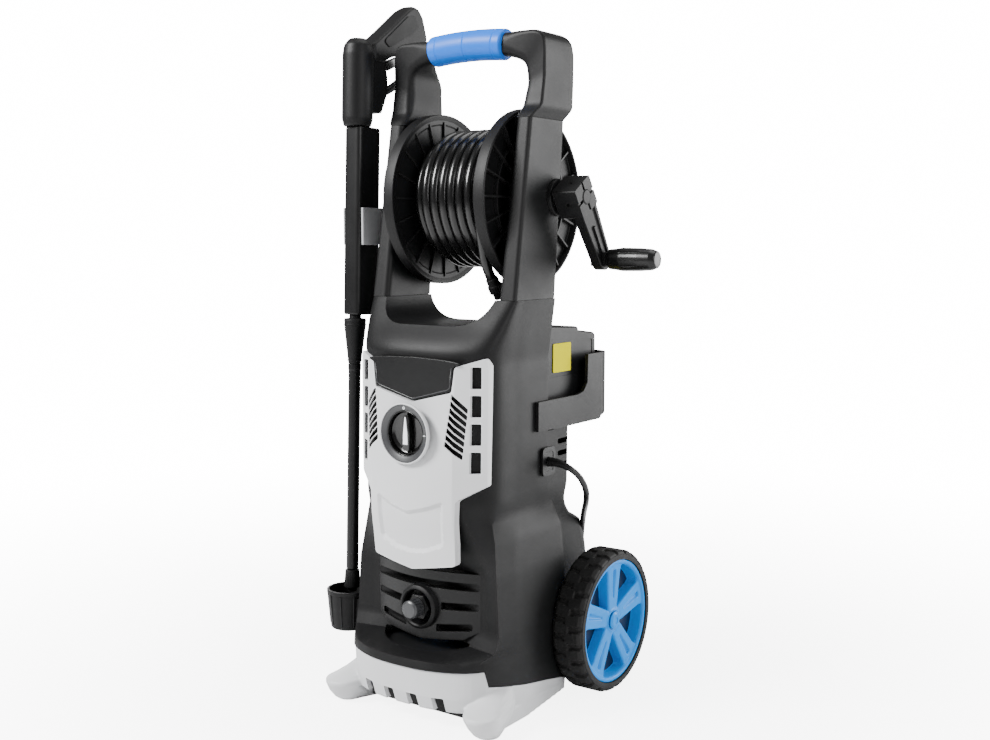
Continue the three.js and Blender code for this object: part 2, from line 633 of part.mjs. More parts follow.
// ---------------------------------------------------------------- the gun and its lance
const gun = new THREE.Group();
gun.position.set(GUN_X, GUN_FOOT_Y, 0);
gun.rotation.x = -GUN_LEAN;
machine.add(gun);

// Heights along the lance's axis.
const LANCE = { tip: 126, nozzle: 156, coupling: 437, sleeve: 503, barrel: 754, dome: 868 };
piece("lance_nozzle", turned("z", [
  [3, LANCE.tip], [6.5, LANCE.tip], [7, 131], [11, 132], [10.5, 142], [9.5, LANCE.nozzle], [3, LANCE.nozzle],
  [3, LANCE.tip],
], [0, 0]), FINISH.black, gun);
piece("lance_tube", rod("z", 8.8, [LANCE.nozzle + GAP, LANCE.coupling], [0, 0], 20), FINISH.black, gun);
piece("lance_coupling", turned("z", [
  [0, LANCE.coupling + GAP], [8.5, LANCE.coupling + GAP], [10, 452], [14.5, 490], [14.5, 498], [8, 499],
  [8, LANCE.sleeve], [0, LANCE.sleeve],
], [0, 0]), FINISH.black, gun);

const sleeveShape = roundedRect([-14, 14], [-11, 34], 8);
piece("gun_sleeve", prism("z", sleeveShape, [LANCE.sleeve + GAP, LANCE.barrel - 2]), FINISH.black, gun);

// Side outlines, given as places forward-back and up in the gun's own frame.
const HANDLE = [[12, 860], [46, 886], [88, 920], [100, 927], [111, 925], [121, 914], [132, 884], [122, 872],
  [86, 860], [48, 846], [34, 838], [14, 838]];
const GUARD = [[40, 800], [62, 808], [92, 828], [114, 852], [126, 884]];

/** The gun's body: a domed barrel, the trigger housing, the handle and its guard. */
function gunBody() {
  const barrel = turned("z", [[0, LANCE.barrel - 1.7], [18, LANCE.barrel - 1.7], [20.5, 762], [20.5, 846],
    [17, 860], [9, 867], [0, LANCE.dome]], [0, 0], 28);
  return join(
    barrel,
    prism("x", [[0, 772], [34, 772], [46, 800], [46, 822], [38, 846], [0, 862]], [-13, 13]),
    prism("x", HANDLE, [-15, 15]),
    tube(GUARD.map(([y, z]) => [0, y, z]), 5.5, 8, 8),
  );
}

const triggerSlot = prism("x", [[44, 830], [44, 848], [86, 865], [120, 878], [132, 878], [128, 846],
  [100, 836]],
  [-7, 7]);
piece("gun_body", cut(gunBody(), triggerSlot), FINISH.black, gun);
piece("gun_grip_panel", prism("x", [[34, 868], [84, 909], [98, 912], [108, 898], [92, 886], [46, 861]],
  [15 + GAP, 17]), FINISH.rubber, gun);
piece("trigger", prism("x", [[48, 841], [55, 832], [86, 847], [108, 858], [108, 864], [84, 857],
  [54, 845]], [-5, 5]),
  FINISH.black, gun);
piece("trigger_lock", prism("x", [[111, 861], [116, 862], [118, 873], [112, 871]],
  [-5, 5]), FINISH.midGrey, gun);

// What holds the gun: a clip on the left column and a cup at the foot.
piece("gun_clip", join(
  block([-167.5, -164.5], [-166, -118], [596, 645]), block([-134.3, -130.5], [-168, -118], [596, 645]),
  block([-167.5, -114], [-121, -116], [596, 645]),
), FINISH.midGrey);
piece("lance_cup", join(
  turned("z", [[0, CUP.z0], [CUP.r - 4, CUP.z0], [CUP.r, CUP.z1], [CUP.r - 2.5, CUP.z1],
    [CUP.r - 6.3, CUP.z0 + 3],
    [0, CUP.z0 + 3]], [CUP.x, CUP.y], 28),
  cut(block([-150, -120.8], [CUP.y - 13, CUP.y + 13], [CUP.z0 + 8, CUP.z1 - 8]),
    rod("z", CUP.r - 3, [CUP.z0, CUP.z1], [CUP.x, CUP.y], 28)),
), FINISH.black);

// ---------------------------------------------------------------- the detergent tank and its holder
/** The tank's side outline: a low step behind its filler. */
function tankOutline(inset) {
  const { y0, y1, z0, z1 } = TANK;
  return [[y0 + inset, z0 + inset], [y1 - 6 - inset, z0 + inset], [y1 - inset, z0 + 14],
    [y1 - 3 - inset, 474 - inset],
    [y1 - 8 - inset, 477 - inset], [14, 482 - inset], [12, 487 - inset], [y0 + inset, z1 - inset]];
}

const FILLER = { x: 40, y: -30 };
piece("detergent_tank", cut(
  join(prism("x", tankOutline(0), [-TANK.x, TANK.x]), rod("z", 15, [485, 500], [FILLER.x, FILLER.y], 24)),
  prism("x", tankOutline(2.5), [-TANK.x + 2.5, TANK.x - 2.5]),
  rod("z", 12.5, [480, 505], [FILLER.x, FILLER.y], 24),
), FINISH.black);
piece("tank_cap", turned("z", [
  [0, 500 + GAP], [15, 500 + GAP], [15 + GAP, 494], [19, 494], [19, 508], [17, 510], [0, 510],
], [FILLER.x, FILLER.y], 24), FINISH.midGrey);
piece("tank_sticker", block([TANK.x + GAP, TANK.x + 0.9], [-50, -6], [429, 467]), FINISH.yellow);

/** The holder: an L-shaped cheek on each side of a floor and a back wall with round corners. */
function tankHolder() {
  const cheek = [[-110, 360], [34, 360], [62, 372], [70, 392], [70, 450], [12, 450], [10, 412],
    [0, 401], [-16, 398],
    [-108, 398]];
  const outer = new THREE.Shape();
  outer.moveTo(-109, -110);
  outer.lineTo(109, -110);
  outer.absarc(75, 44, 34, 0, Math.PI / 2);
  outer.absarc(-75, 44, 34, Math.PI / 2, Math.PI);
  const inner = new THREE.Shape();
  inner.moveTo(-104.4, -111);
  inner.lineTo(104.4, -111);
  inner.absarc(72, 42, 32.4, 0, Math.PI / 2);
  inner.absarc(-72, 42, 32.4, Math.PI / 2, Math.PI);
  const wall = cut(prism("z", outer, [358.5, 450]), prism("z", inner, [350, 460]));
  const rise = [[-120, 350], [-116, 360], [30, 360], [62, 366], [80, 392], [80, 460], [12, 460],
    [10, 412], [0, 401],
    [-16, 398], [-120, 398]];
  const floorPlate = prism("z", outer, [358.5, 362.5]);
  return join(
    wall.intersect(prism("x", rise, [-120, 120])),
    cut(floorPlate, block([-120, 120], [-120, SEAM_Y + 7], [350, 370])).intersect(prism("x", cheek,
      [-120, 120])),
  );
}

piece("tank_holder", tankHolder(), FINISH.black);

// ---------------------------------------------------------------- the inside
const MOTOR = { x: 0, y: -78, r: 50 };
const motorCentre = [MOTOR.x, MOTOR.y];
piece("motor_casing", rod("z", MOTOR.r, [132, 300], motorCentre, 24), FINISH.aluminium);
piece("motor_fan", rod("z", 46, [300 + GAP, 314], motorCentre), FINISH.black);
piece("fan_shroud", ring("z", 50, 53, [303, 330], motorCentre, 20), FINISH.black);
piece("pump_body", rod("z", 42, [62, 132 - GAP], motorCentre, 20), FINISH.aluminium);
piece("pump_head", cut(
  block([-26, 26], [-149.5, -121], [116, 168]),
  rod("z", MOTOR.r + GAP, [100, 200], motorCentre, 24),
), FINISH.brass);
piece("capacitor", rod("z", 18, [250, 315], [70, -150], 20), FINISH.lightGrey);
piece("outlet_pipe", tube([[-29, -140, 150], [-60, -146, 165], [-84, -142, 230], [-86, -134, 380],
  [-93, -125, 450],
  [-101, -122, 505], [-101, -112, 600], [-101, -100, 640], [-100, -96.5, 655]], 5, 8, 16), FINISH.brass);

// ---------------------------------------------------------------- small fittings
piece("cord_grommet", join(
  prism("x", roundedRect([-98, -68], [300, 337], 7), [104.6, 108]),
  block([96, 105], [-79, -69], [303, 334]),
), FINISH.black);

// ---------------------------------------------------------------- the power cord
// The cord leaves its grommet, drops behind the motor housing and lies on the floor, then it is coiled.
const CORD_ROUTE = [
  [108.5, -83, 318], [115, -83, 318], [123.8, -82.4, 317], [132, -80.5, 314.2],
  [141, -76.3, 307.9], [147, -70.7, 299.4], [149, -64.3, 289.8], [147.4, -56, 279.4],
  [141.5, -45, 268.8], [131.5, -29.5, 257.6], [118, -9.5, 245.5], [103.5, 12, 232.5],
  [89.5, 33, 217], [77.5, 50.5, 198], [69.3, 62, 176], [63.6, 69.5, 150], [59.8, 74, 122],
  [57.2, 77, 92], [55.8, 79, 64], [55.3, 80, 40.3], [52.6, 80, 26.5], [44.8, 80, 14.8],
  [33.1, 80, 7], [19.3, 80, 4.3], [13.4, 80, 4.3]
];
piece("power_cord", tube(CORD_ROUTE, CORD_R, 8, 32), FINISH.rubber);
piece("cord_coil", ring("z", COIL.inner, COIL.outer, [0.2, COIL.height], [COIL.x, COIL.y],
  24), FINISH.rubber);

/** A two-pin plug that lies on the coil, its tail where the last turn ends. */
function plug() {
  const [y, z] = [COIL.y - 47, COIL.height + GAP + 18];
  const body = turned("x", [
    [0, -50], [17, -50], [18, -46], [18, -30], [14, -19], [8, -13], [6.5, -11], [4.6, 9], [0, 9],
  ], [y, z]);
  return join(body, ...[-9.5, 9.5].map((offset) => rod("x", 2.4, [-69, -49], [y + offset, z], 12)));
}

piece("cord_plug", plug(), FINISH.rubber);

// The origin is the floor point under the middle of the machine without its cord.
const CORD_NODES = ["power_cord", "cord_coil", "cord_plug"];
machine.updateMatrixWorld(true);
const extent = new THREE.Box3();
machine.traverse((node) => {
  if (node.isMesh && !CORD_NODES.includes(node.name)) extent.expandByObject(node, true);
});
const centre = extent.getCenter(v3());
machine.position.set(-centre.x, -centre.y, -extent.min.z);

export default machine;
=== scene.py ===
"""The looks of a wheeled pressure washer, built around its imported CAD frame.

Sizes are millimetres in the machine's own frame: X = 0 is its mirror plane, Y = 0 the wheel axle and
Z = 0 the floor; the front faces -Y and +X is the crank side. place() turns them into the row frame, in
metres.
"""
import math

import bmesh
import bpy
from mathutils import Matrix, Vector


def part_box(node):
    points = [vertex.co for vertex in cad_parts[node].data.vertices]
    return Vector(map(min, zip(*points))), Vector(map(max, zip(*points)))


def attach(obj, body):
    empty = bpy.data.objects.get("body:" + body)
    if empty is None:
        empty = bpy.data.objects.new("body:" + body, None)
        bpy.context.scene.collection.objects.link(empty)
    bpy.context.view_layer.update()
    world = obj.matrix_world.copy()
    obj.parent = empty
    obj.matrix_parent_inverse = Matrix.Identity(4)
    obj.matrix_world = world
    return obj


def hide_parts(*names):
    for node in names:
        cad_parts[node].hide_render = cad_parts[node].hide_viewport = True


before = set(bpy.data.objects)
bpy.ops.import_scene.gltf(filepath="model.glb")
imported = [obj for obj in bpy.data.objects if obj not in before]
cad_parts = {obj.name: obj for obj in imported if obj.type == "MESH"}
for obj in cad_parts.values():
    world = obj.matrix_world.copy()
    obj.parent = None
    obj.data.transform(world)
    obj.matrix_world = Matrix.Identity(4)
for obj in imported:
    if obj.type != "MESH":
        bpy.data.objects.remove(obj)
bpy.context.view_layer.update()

# ---------------------------------------------------------------- the frame's driving dimensions
MM = 0.001
GAP = 0.3
AXLE_Z = 95
WHEEL_FACE = 164
TYRE_W = 45
WHEEL_R = 95
REEL = (-76, 656)
DRUM_R = 42
FLANGE_R = 112.4
FLANGE_X = 66
CRANK_X = 146
CRANK_PIN = (-24, 578)
KNOB = (0, 366)
PORT = (0, 141)
SEAM_Z = 529
SEAM_Y = -80
GUN_X = -150
GUN_FOOT_Y = -181.6
GUN_LEAN = 0.035

axle_low, axle_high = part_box("axle")
ORIGIN = (axle_low + axle_high) / 2 - Vector((0, 0, AXLE_Z * MM))
TO_ROW = Matrix.Translation(ORIGIN) @ Matrix.Scale(MM, 4)
GUN = TO_ROW @ Matrix.Translation((GUN_X, GUN_FOOT_Y, 0)) @ Matrix.Rotation(-GUN_LEAN, 4, "X")


def place(x, y, z):
    """A point of the machine in the row frame."""
    return TO_ROW @ Vector((x, y, z))


# ---------------------------------------------------------------- mesh tools
def new_object(name, mesh):
    obj = bpy.data.objects.new(name, mesh)
    bpy.context.scene.collection.objects.link(obj)
    return obj


def mesh_piece(name, points, faces, space=TO_ROW):
    """An object from points in millimetres, welded and with its faces turned outwards."""
    mesh = bpy.data.meshes.new(name)
    mesh.from_pydata([tuple(p) for p in points], [], faces)
    work = bmesh.new()
    work.from_mesh(mesh)
    bmesh.ops.remove_doubles(work, verts=work.verts, dist=1e-4)
    bmesh.ops.recalc_face_normals(work, faces=work.faces)
    work.to_mesh(mesh)
    work.free()
    mesh.transform(space)
    mesh.shade_smooth()
    return new_object(name, mesh)


def loft(name, rings, space=TO_ROW, looped=False):
    """A skin over rings of equally many points, capped at its ends or closed on itself."""
    count = len(rings[0])
    points = [p for ring in rings for p in ring]
    faces = []
    for a in range(len(rings) if looped else len(rings) - 1):
        b = (a + 1) % len(rings)
        faces += [(a * count + i, a * count + (i + 1) % count, b * count + (i + 1) % count, b * count + i)
            for i in range(count)]
    if not looped:
        last = (len(rings) - 1) * count
        faces += [tuple(range(count)), tuple(range(last, last + count))]
    return mesh_piece(name, points, faces, space)


def angles(count):
    """Even turns round a circle."""
    return [2 * math.pi * k / count for k in range(count)]


def oblong(u, v):
    """A rectangle's outline from its two spans."""
    return [(u[0], v[0]), (u[1], v[0]), (u[1], v[1]), (u[0], v[1])]


def across(axis, u, v, along):
    return {"x": (along, u, v), "y": (u, along, v), "z": (u, v, along)}[axis]


def lathe(name, axis, profile, centre=(0, 0), sides=96, space=TO_ROW):
    """A closed profile of (radius, place along the axis) points, turned round the axis."""
    rings = []
    for angle in angles(sides):
        c, s = math.cos(angle), math.sin(angle)
        rings.append([across(axis, centre[0] + r * c, centre[1] + r * s, along) for r, along in profile])
    return loft(name, rings, space, looped=True)


def rod(name, axis, radius, span, centre=(0, 0), sides=96, space=TO_ROW):
    return lathe(name, axis, oblong((0, radius), span), centre, sides, space)


def pegs(axis, count, reach, radius, span, centre=(0, 0), sides=8, space=TO_ROW):
    """Thin rods in a ring round an axis."""
    spots = [(centre[0] + reach * math.cos(a), centre[1] + reach * math.sin(a)) for a in angles(count)]
    return [rod("peg", axis, radius, span, spot, sides, space) for spot in spots]


def prism(name, axis, outline, span, space=TO_ROW):
    rings = [[across(axis, u, v, along) for u, v in outline] for along in span]
    return loft(name, rings, space)


def block(name, x, y, z, space=TO_ROW):
    return prism(name, "z", oblong(x, y), z, space)


def fillet(outline, radius, steps=5):
    """An outline with its corners rounded. radius is one number, or one for each corner."""
    count = len(outline)
    radii = radius if hasattr(radius, "__len__") else [radius] * count
    made = []
    for i, r in enumerate(radii):
        here = Vector(outline[i])
        back, on = Vector(outline[i - 1]) - here, Vector(outline[(i + 1) % count]) - here
        if r == 0:
            made.append(tuple(here))
            continue
        reach = r / max(math.tan(back.angle(on) / 2), 1e-3)
        a = here + back.normalized() * min(reach, 0.48 * back.length)
        b = here + on.normalized() * min(reach, 0.48 * on.length)
        for k in range(steps + 1):
            t = k / steps
            made.append(tuple(a * (1 - t) ** 2 + here * 2 * t * (1 - t) + b * t * t))
    return made


def through(points, per_span=6):
    """Points on a smooth curve through the given ones."""
    known = [Vector(p) for p in points]
    known = [2 * known[0] - known[1], *known, 2 * known[-1] - known[-2]]
    made = []
    for a, b, c, d in zip(known, known[1:], known[2:], known[3:]):
        t = [0.0]
        for p, q in ((a, b), (b, c), (c, d)):
            t.append(t[-1] + max((q - p).length, 1e-6) ** 0.5)
        for k in range(per_span):
            u = t[1] + (t[2] - t[1]) * k / per_span
            ab = (a * (t[1] - u) + b * (u - t[0])) / (t[1] - t[0])
            bc = (b * (t[2] - u) + c * (u - t[1])) / (t[2] - t[1])
            cd = (c * (t[3] - u) + d * (u - t[2])) / (t[3] - t[2])
            abc = (ab * (t[2] - u) + bc * (u - t[0])) / (t[2] - t[0])
            bcd = (bc * (t[3] - u) + cd * (u - t[1])) / (t[3] - t[1])
            made.append((abc * (t[2] - u) + bcd * (u - t[1])) / (t[2] - t[1]))
    made.append(known[-2])
    return made


def steady(places, values):
    """A smooth function through values that never swings past them."""
    gaps = [b - a for a, b in zip(places, places[1:])]
    rates = [(b - a) / h for a, b, h in zip(values, values[1:], gaps)]
    slopes = [rates[0]]
    for r0, r1 in zip(rates, rates[1:]):
        slopes.append(0 if r0 * r1 <= 0 else 2 * r0 * r1 / (r0 + r1))
    slopes.append(rates[-1])

    def at(place):
        i = max(k for k in range(len(gaps)) if k == 0 or places[k] <= place)
        h = gaps[i]
        t = (place - places[i]) / h
        t2, t3 = t * t, t * t * t
        return (values[i] * (2 * t3 - 3 * t2 + 1) + slopes[i] * h * (t3 - 2 * t2 + t) + values[i + 1]
            * (3 * t2 - 2 * t3) + slopes[i + 1] * h * (t3 - t2))

    return at


def tube(name, points, radius, sides=20, space=TO_ROW):
    """A round bar along points. radius is a number, or a function of the share of the way along."""
    line = [Vector(p) for p in points]
    size = radius if callable(radius) else (lambda share: radius)
    lengths = [0.0]
    for a, b in zip(line, line[1:]):
        lengths.append(lengths[-1] + (b - a).length)
    side = None
    rings = []
    for i, here in enumerate(line):
        along = (line[min(i + 1, len(line) - 1)] - line[max(i - 1, 0)]).normalized()
        side = (side or along.orthogonal()) - along * (side or along.orthogonal()).dot(along)
        side.normalize()
        up = along.cross(side)
        r = size(lengths[i] / lengths[-1])
        rings.append([here + (side * math.cos(a) + up * math.sin(a)) * r for a in angles(sides)])
    return loft(name, rings, space)


def bake(obj):
    """Turns an object's modifiers into its mesh."""
    bpy.context.view_layer.update()
    graph = bpy.context.evaluated_depsgraph_get()
    mesh = bpy.data.meshes.new_from_object(obj.evaluated_get(graph))
    obj.modifiers.clear()
    obj.data = mesh
    return obj


def boolean(obj, operation, tools):
    for tool in tools:
        step = obj.modifiers.new(operation.lower(), "BOOLEAN")
        step.operation = operation
        step.object = tool
        step.solver = "EXACT"
    bake(obj)
    for tool in tools:
        bpy.data.objects.remove(tool)
    obj.data.shade_smooth()
    return obj


def carve(obj, *tools):
    return boolean(obj, "DIFFERENCE", tools)


def keep_inside(obj, tool):
    return boolean(obj, "INTERSECT", [tool])


def merged(name, objects):
    """Several objects' meshes as one object."""
    work = bmesh.new()
    for obj in objects:
        work.from_mesh(obj.data)
    mesh = bpy.data.meshes.new(name)
    work.to_mesh(mesh)
    work.free()
    for obj in objects:
        bpy.data.objects.remove(obj)
    mesh.shade_smooth()
    return new_object(name, mesh)


def melt(name, objects, voxel=1.5, relax=6):
    """Runs overlapping solids together into one moulding with soft inner corners."""
    whole = merged(name, objects)
    remesh = whole.modifiers.new("melt", "REMESH")
    remesh.mode = "VOXEL"
    remesh.voxel_size = voxel * MM
    smooth = whole.modifiers.new("relax", "SMOOTH")
    smooth.factor = 0.5
    smooth.iterations = relax
    bake(whole)
    whole.data.shade_smooth()
    return whole


def cushion(name, outline, middle, slices, space=TO_ROW):
    """A slab along X whose outline is drawn in towards its middle by each slice's (x, share)."""
    return loft(name, [[(x, middle[0] + (y - middle[0]) * k, middle[1] + (z - middle[1]) * k)
        for y, z in outline] for x, k in slices], space)


def soften(obj, width=0.8, segments=2, angle=32):
    """Gives an object's edges a small round."""
    bevel = obj.modifiers.new("soft edges", "BEVEL")
    bevel.width = width * MM
    bevel.segments = segments
    bevel.limit_method = "ANGLE"
    bevel.angle_limit = math.radians(angle)
    flat = obj.modifiers.new("flat faces", "WEIGHTED_NORMAL")
    flat.keep_sharp = True
    return obj


def crisp(obj, angle=32):
    """Smooth shading that stops at an object's sharp edges."""
    obj.data.set_sharp_from_angle(angle=math.radians(angle))
    return obj


def put(obj, body, finish, *nodes):
    """Finishes a piece: its material, its body and the CAD nodes it stands for."""
    slot, material = finish
    obj.data.materials.clear()
    obj.data.materials.append(material)
    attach(obj, body)
    if nodes:
        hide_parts(*nodes)
    return obj


# ---------------------------------------------------------------- materials
def node(tree, kind, **settings):
    made = tree.nodes.new(kind)
    for key, value in settings.items():
        if hasattr(made, key):
            setattr(made, key, value)
        else:
            made.inputs[key.replace("_", " ")].default_value = value
    return made


def surface(name, low, high, rough, patch=9.0, grain=900.0, depth=0.12, wear=None, **shader):
    """A procedural surface: patchy colour from low to high, uneven gloss and a fine grain.

    rough is the range of roughness, patch and grain are noise scales per metre, depth is the strength of the
    grain's relief, and wear is the colour that handling has brought out along edges.
    """
    material = bpy.data.materials.new(name)
    material.use_nodes = True
    tree = material.node_tree
    bsdf = tree.nodes["Principled BSDF"]
    for key, value in shader.items():
        bsdf.inputs[key.replace("_", " ")].default_value = value
    place_in = node(tree, "ShaderNodeTexCoord")
    broad = node(tree, "ShaderNodeTexNoise", Scale=patch, Detail=4.0, Roughness=0.6)
    fine = node(tree, "ShaderNodeTexNoise", Scale=grain, Detail=2.0, Roughness=0.5)
    colour = node(tree, "ShaderNodeMix", data_type="RGBA")
    colour.inputs[6].default_value = (*low, 1)
    colour.inputs[7].default_value = (*high, 1)
    gloss = node(tree, "ShaderNodeMapRange", From_Min=0.3, From_Max=0.7, To_Min=rough[0], To_Max=rough[1])
    relief = node(tree, "ShaderNodeBump", Strength=depth, Distance=0.0004)
    links = tree.links
    for texture in (broad, fine):
        links.new(place_in.outputs["Object"], texture.inputs["Vector"])
    links.new(broad.outputs["Fac"], colour.inputs[0])
    links.new(broad.outputs["Fac"], gloss.inputs["Value"])
    links.new(fine.outputs["Fac"], relief.inputs["Height"])
    links.new(gloss.outputs["Result"], bsdf.inputs["Roughness"])
    links.new(relief.outputs["Normal"], bsdf.inputs["Normal"])
    shade = colour.outputs[2]
    if wear:
        edges = node(tree, "ShaderNodeNewGeometry")
        ramp = node(tree, "ShaderNodeMapRange", From_Min=0.52, From_Max=0.62, To_Min=0.0, To_Max=0.5)
        worn = node(tree, "ShaderNodeMix", data_type="RGBA")
        worn.inputs[7].default_value = (*wear, 1)
        links.new(edges.outputs["Pointiness"], ramp.inputs["Value"])
        links.new(ramp.outputs["Result"], worn.inputs[0])
        links.new(shade, worn.inputs[6])
        shade = worn.outputs[2]
    links.new(shade, bsdf.inputs["Base Color"])
    return material


BLACK = ("black_plastic", surface("moulded black", (0.003, 0.003, 0.0032), (0.0045, 0.0045, 0.0048),
    (0.44, 0.54), grain=1500, depth=0.3, wear=(0.014, 0.014, 0.0145), Specular_IOR_Level=0.17))
FINE_BLACK = ("black_plastic", surface("fine black", (0.003, 0.003, 0.0032), (0.005, 0.005, 0.0053),
    (0.3, 0.4), grain=1300, depth=0.08, wear=(0.01, 0.01, 0.01), Specular_IOR_Level=0.22))
GLOSS = ("gloss_black", surface("gloss black", (0.002, 0.002, 0.002), (0.0035, 0.0035, 0.0035),
    (0.12, 0.22), grain=500, depth=0.03))
GRIP_BLACK = ("gloss_black", surface("handle black", (0.0025, 0.0025, 0.0026), (0.004, 0.004, 0.0042),
    (0.26, 0.36), grain=900, depth=0.05, wear=(0.01, 0.01, 0.01), Specular_IOR_Level=0.3))
LIGHT = ("light_grey", surface("light grey", (0.48, 0.485, 0.495), (0.52, 0.525, 0.535), (0.4, 0.5),
    grain=1600, depth=0.12, wear=(0.68, 0.68, 0.69), Specular_IOR_Level=0.3))
MID = ("mid_grey", surface("mid grey", (0.1, 0.103, 0.108), (0.13, 0.134, 0.14), (0.4, 0.5), grain=1300))
CLIP_GREY = ("mid_grey", surface("clip grey", (0.26, 0.265, 0.275), (0.3, 0.305, 0.315), (0.4, 0.5),
    grain=1300))
TANK_BLACK = ("black_plastic", surface("tank black", (0.003, 0.003, 0.0032), (0.0045, 0.0045, 0.0048),
    (0.38, 0.48), grain=1300, depth=0.12, wear=(0.014, 0.014, 0.014), Specular_IOR_Level=0.16))
BEZEL = ("bezel_grey", surface("bezel grey", (0.02, 0.0205, 0.022), (0.03, 0.031, 0.033), (0.32, 0.42),
    grain=1300))
GRIP = ("grip_blue", surface("grip blue", (0.0, 0.1, 0.5), (0.0, 0.12, 0.57), (0.36, 0.46), grain=1200,
    depth=0.18, Specular_IOR_Level=0.2))
HUB = ("hub_blue", surface("hub blue", (0.0, 0.17, 0.52), (0.0, 0.2, 0.6), (0.28, 0.4), grain=1200,
    depth=0.08, Specular_IOR_Level=0.12))
# painted shade: a darker blue for the disc in the wheel's recesses, standing in for the shade that falls
# there
SHADE_PAINTED_BLUE = ("hub_blue", surface("hub painted shade", (0.001, 0.01, 0.035), (0.002, 0.015, 0.05), (0.45, 0.6),
    grain=1200, Specular_IOR_Level=0.2))
TYRE = ("tyre", surface("tyre", (0.003, 0.003, 0.003), (0.006, 0.0058, 0.0056), (0.6, 0.78), patch=30,
    grain=700, depth=0.35, Specular_IOR_Level=0.3))
SOFT = ("soft_black", surface("soft grip", (0.006, 0.006, 0.006), (0.009, 0.009, 0.009), (0.6, 0.75),
    grain=1000, depth=0.4, Specular_IOR_Level=0.3))
HOSE = ("hose_black", surface("hose", (0.0025, 0.0025, 0.0025), (0.0045, 0.0045, 0.0045), (0.16, 0.28),
    grain=420, depth=0.1, Specular_IOR_Level=0.4))
CORD = ("cord_black", surface("cord", (0.004, 0.004, 0.004), (0.007, 0.007, 0.007), (0.3, 0.42), grain=800,
    Specular_IOR_Level=0.4))
YELLOW = ("sticker_yellow", surface("sticker", (0.5, 0.46, 0.0), (0.55, 0.5, 0.0), (0.4, 0.5), grain=300,
    depth=0.02, Specular_IOR_Level=0.0))
STEEL = ("steel", surface("steel", (0.5, 0.5, 0.51), (0.6, 0.6, 0.61), (0.22, 0.36), grain=2500,
    Metallic=1.0))
BRASS = ("brass", surface("brass", (0.6, 0.42, 0.18), (0.7, 0.5, 0.24), (0.25, 0.4), grain=900,
    Metallic=1.0))
ALUMINIUM = ("aluminium", surface("aluminium", (0.5, 0.5, 0.52), (0.62, 0.62, 0.63), (0.4, 0.55), grain=700,
    depth=0.3, Metallic=1.0))
WHITE = ("light_grey", surface("mark white", (0.75, 0.76, 0.78), (0.8, 0.81, 0.83), (0.4, 0.5), grain=900))


# ---------------------------------------------------------------- the front shell
# Height, rear y, half width, y where the side turns in, shoulder's x and y, facet's end x and y, nose y.
SHELL = [
    (20, -55, 117.5, -165, 99, -226, 54, -250, -256), (78, -55, 118.3, -165, 101, -229, 55, -257, -264),
    (88, -55, 118.3, -165, 101, -228, 55, -255.5, -262), (92, -55, 118.3, -165, 104, -224, 66, -240, -244),
    (98, -55, 118.3, -165, 112, -212, 88, -208, -190), (117, -55, 118, -165, 114, -205, 90, -200, -187),
    (190, -55, 113.5, -165, 109.5, -204, 88, -199, -190), (232, -55, 109, -160, 104, -199, 80, -209, -219),
    (262, -66, 101.5, -150, 98, -198, 68, -218, -226), (282, -80, 103.5, -150, 100.5, -198, 66, -220, -226),
    (455, -80, 104, -150, 99, -198, 62, -217, -222), (462, -80, 105, -150, 99.5, -200, 62, -218, -223),
    (499, -80, 110, -150, 107, -185, 64, -196, -199), (529, -80, 114, -150, 112, -169, 64, -174, -176),
]
BASE = [
    (11, -55, 116, -165, 94, -220, 50, -238, -243), (27, -55, 118, -165, 97, -225, 53, -246, -251),
    (42, -55, 119, -165, 99, -227, 54, -251, -256.5), (77.7, -55, 120, -165, 100, -228, 55, -255.5, -262.5),
]


ROUND_ABOVE = 300              # below this height the shells are flat between their levels


def straight(places, values):
    """Values joined by straight lines."""
    def at(place):
        for a, b, low, high in zip(places, places[1:], values, values[1:]):
            if place <= b:
                return low + (high - low) * max(place - a, 0) / (b - a)
        return values[-1]

    return at


def edged(z):
    """How sharp a shell's upright edges are at a height: crisp beside the recess, rounded elsewhere."""
    return min(1.0, max(0.0, min((z - 82) / 12, (275 - z) / 35)))


def section_of(levels):
    """The outline of a shell at any height, from its rear right corner round the nose to its rear left."""
    places = [row[0] for row in levels]
    flat, smooth = ([join(places, [row[k] for row in levels]) for k in range(1, 9)]
        for join in (straight, steady))

    def ring(z, inset=0, rear_shift=0, at=None):
        at = z if at is None else at
        rear, width, side, sx, sy, fx, fy, nose = (column(at) for column in (flat if at < ROUND_ABOVE
            else smooth))
        half = [(width, rear + rear_shift), (width, (rear + side) / 2), (width, side), (sx, sy), (fx, fy)]
        corners = [Vector((x, y, 0)) for x, y in (*half, (0, nose), *((-x, y) for x, y in reversed(half)))]
        spans = [a.lerp(b, k / 6) for a, b in zip(corners, corners[1:]) for k in range(6)] + [corners[-1]]
        line = [a.lerp(b, edged(at)) for a, b in zip(through(corners, 6), spans)]
        moved = []
        for i, p in enumerate(line):
            along = (line[min(i + 1, len(line) - 1)] - line[max(i - 1, 0)]).normalized()
            moved.append((p.x + along.y * inset, p.y - along.x * inset, z))
        return moved

    return ring


def heights(levels, step):
    """The levels' own heights and even steps between them."""
    made = []
    for a, b in zip(levels, levels[1:]):
        count = max(1, round((b[0] - a[0]) / step))
        made += [a[0] + (b[0] - a[0]) * k / count for k in range(count)]
    return [*made, levels[-1][0]]


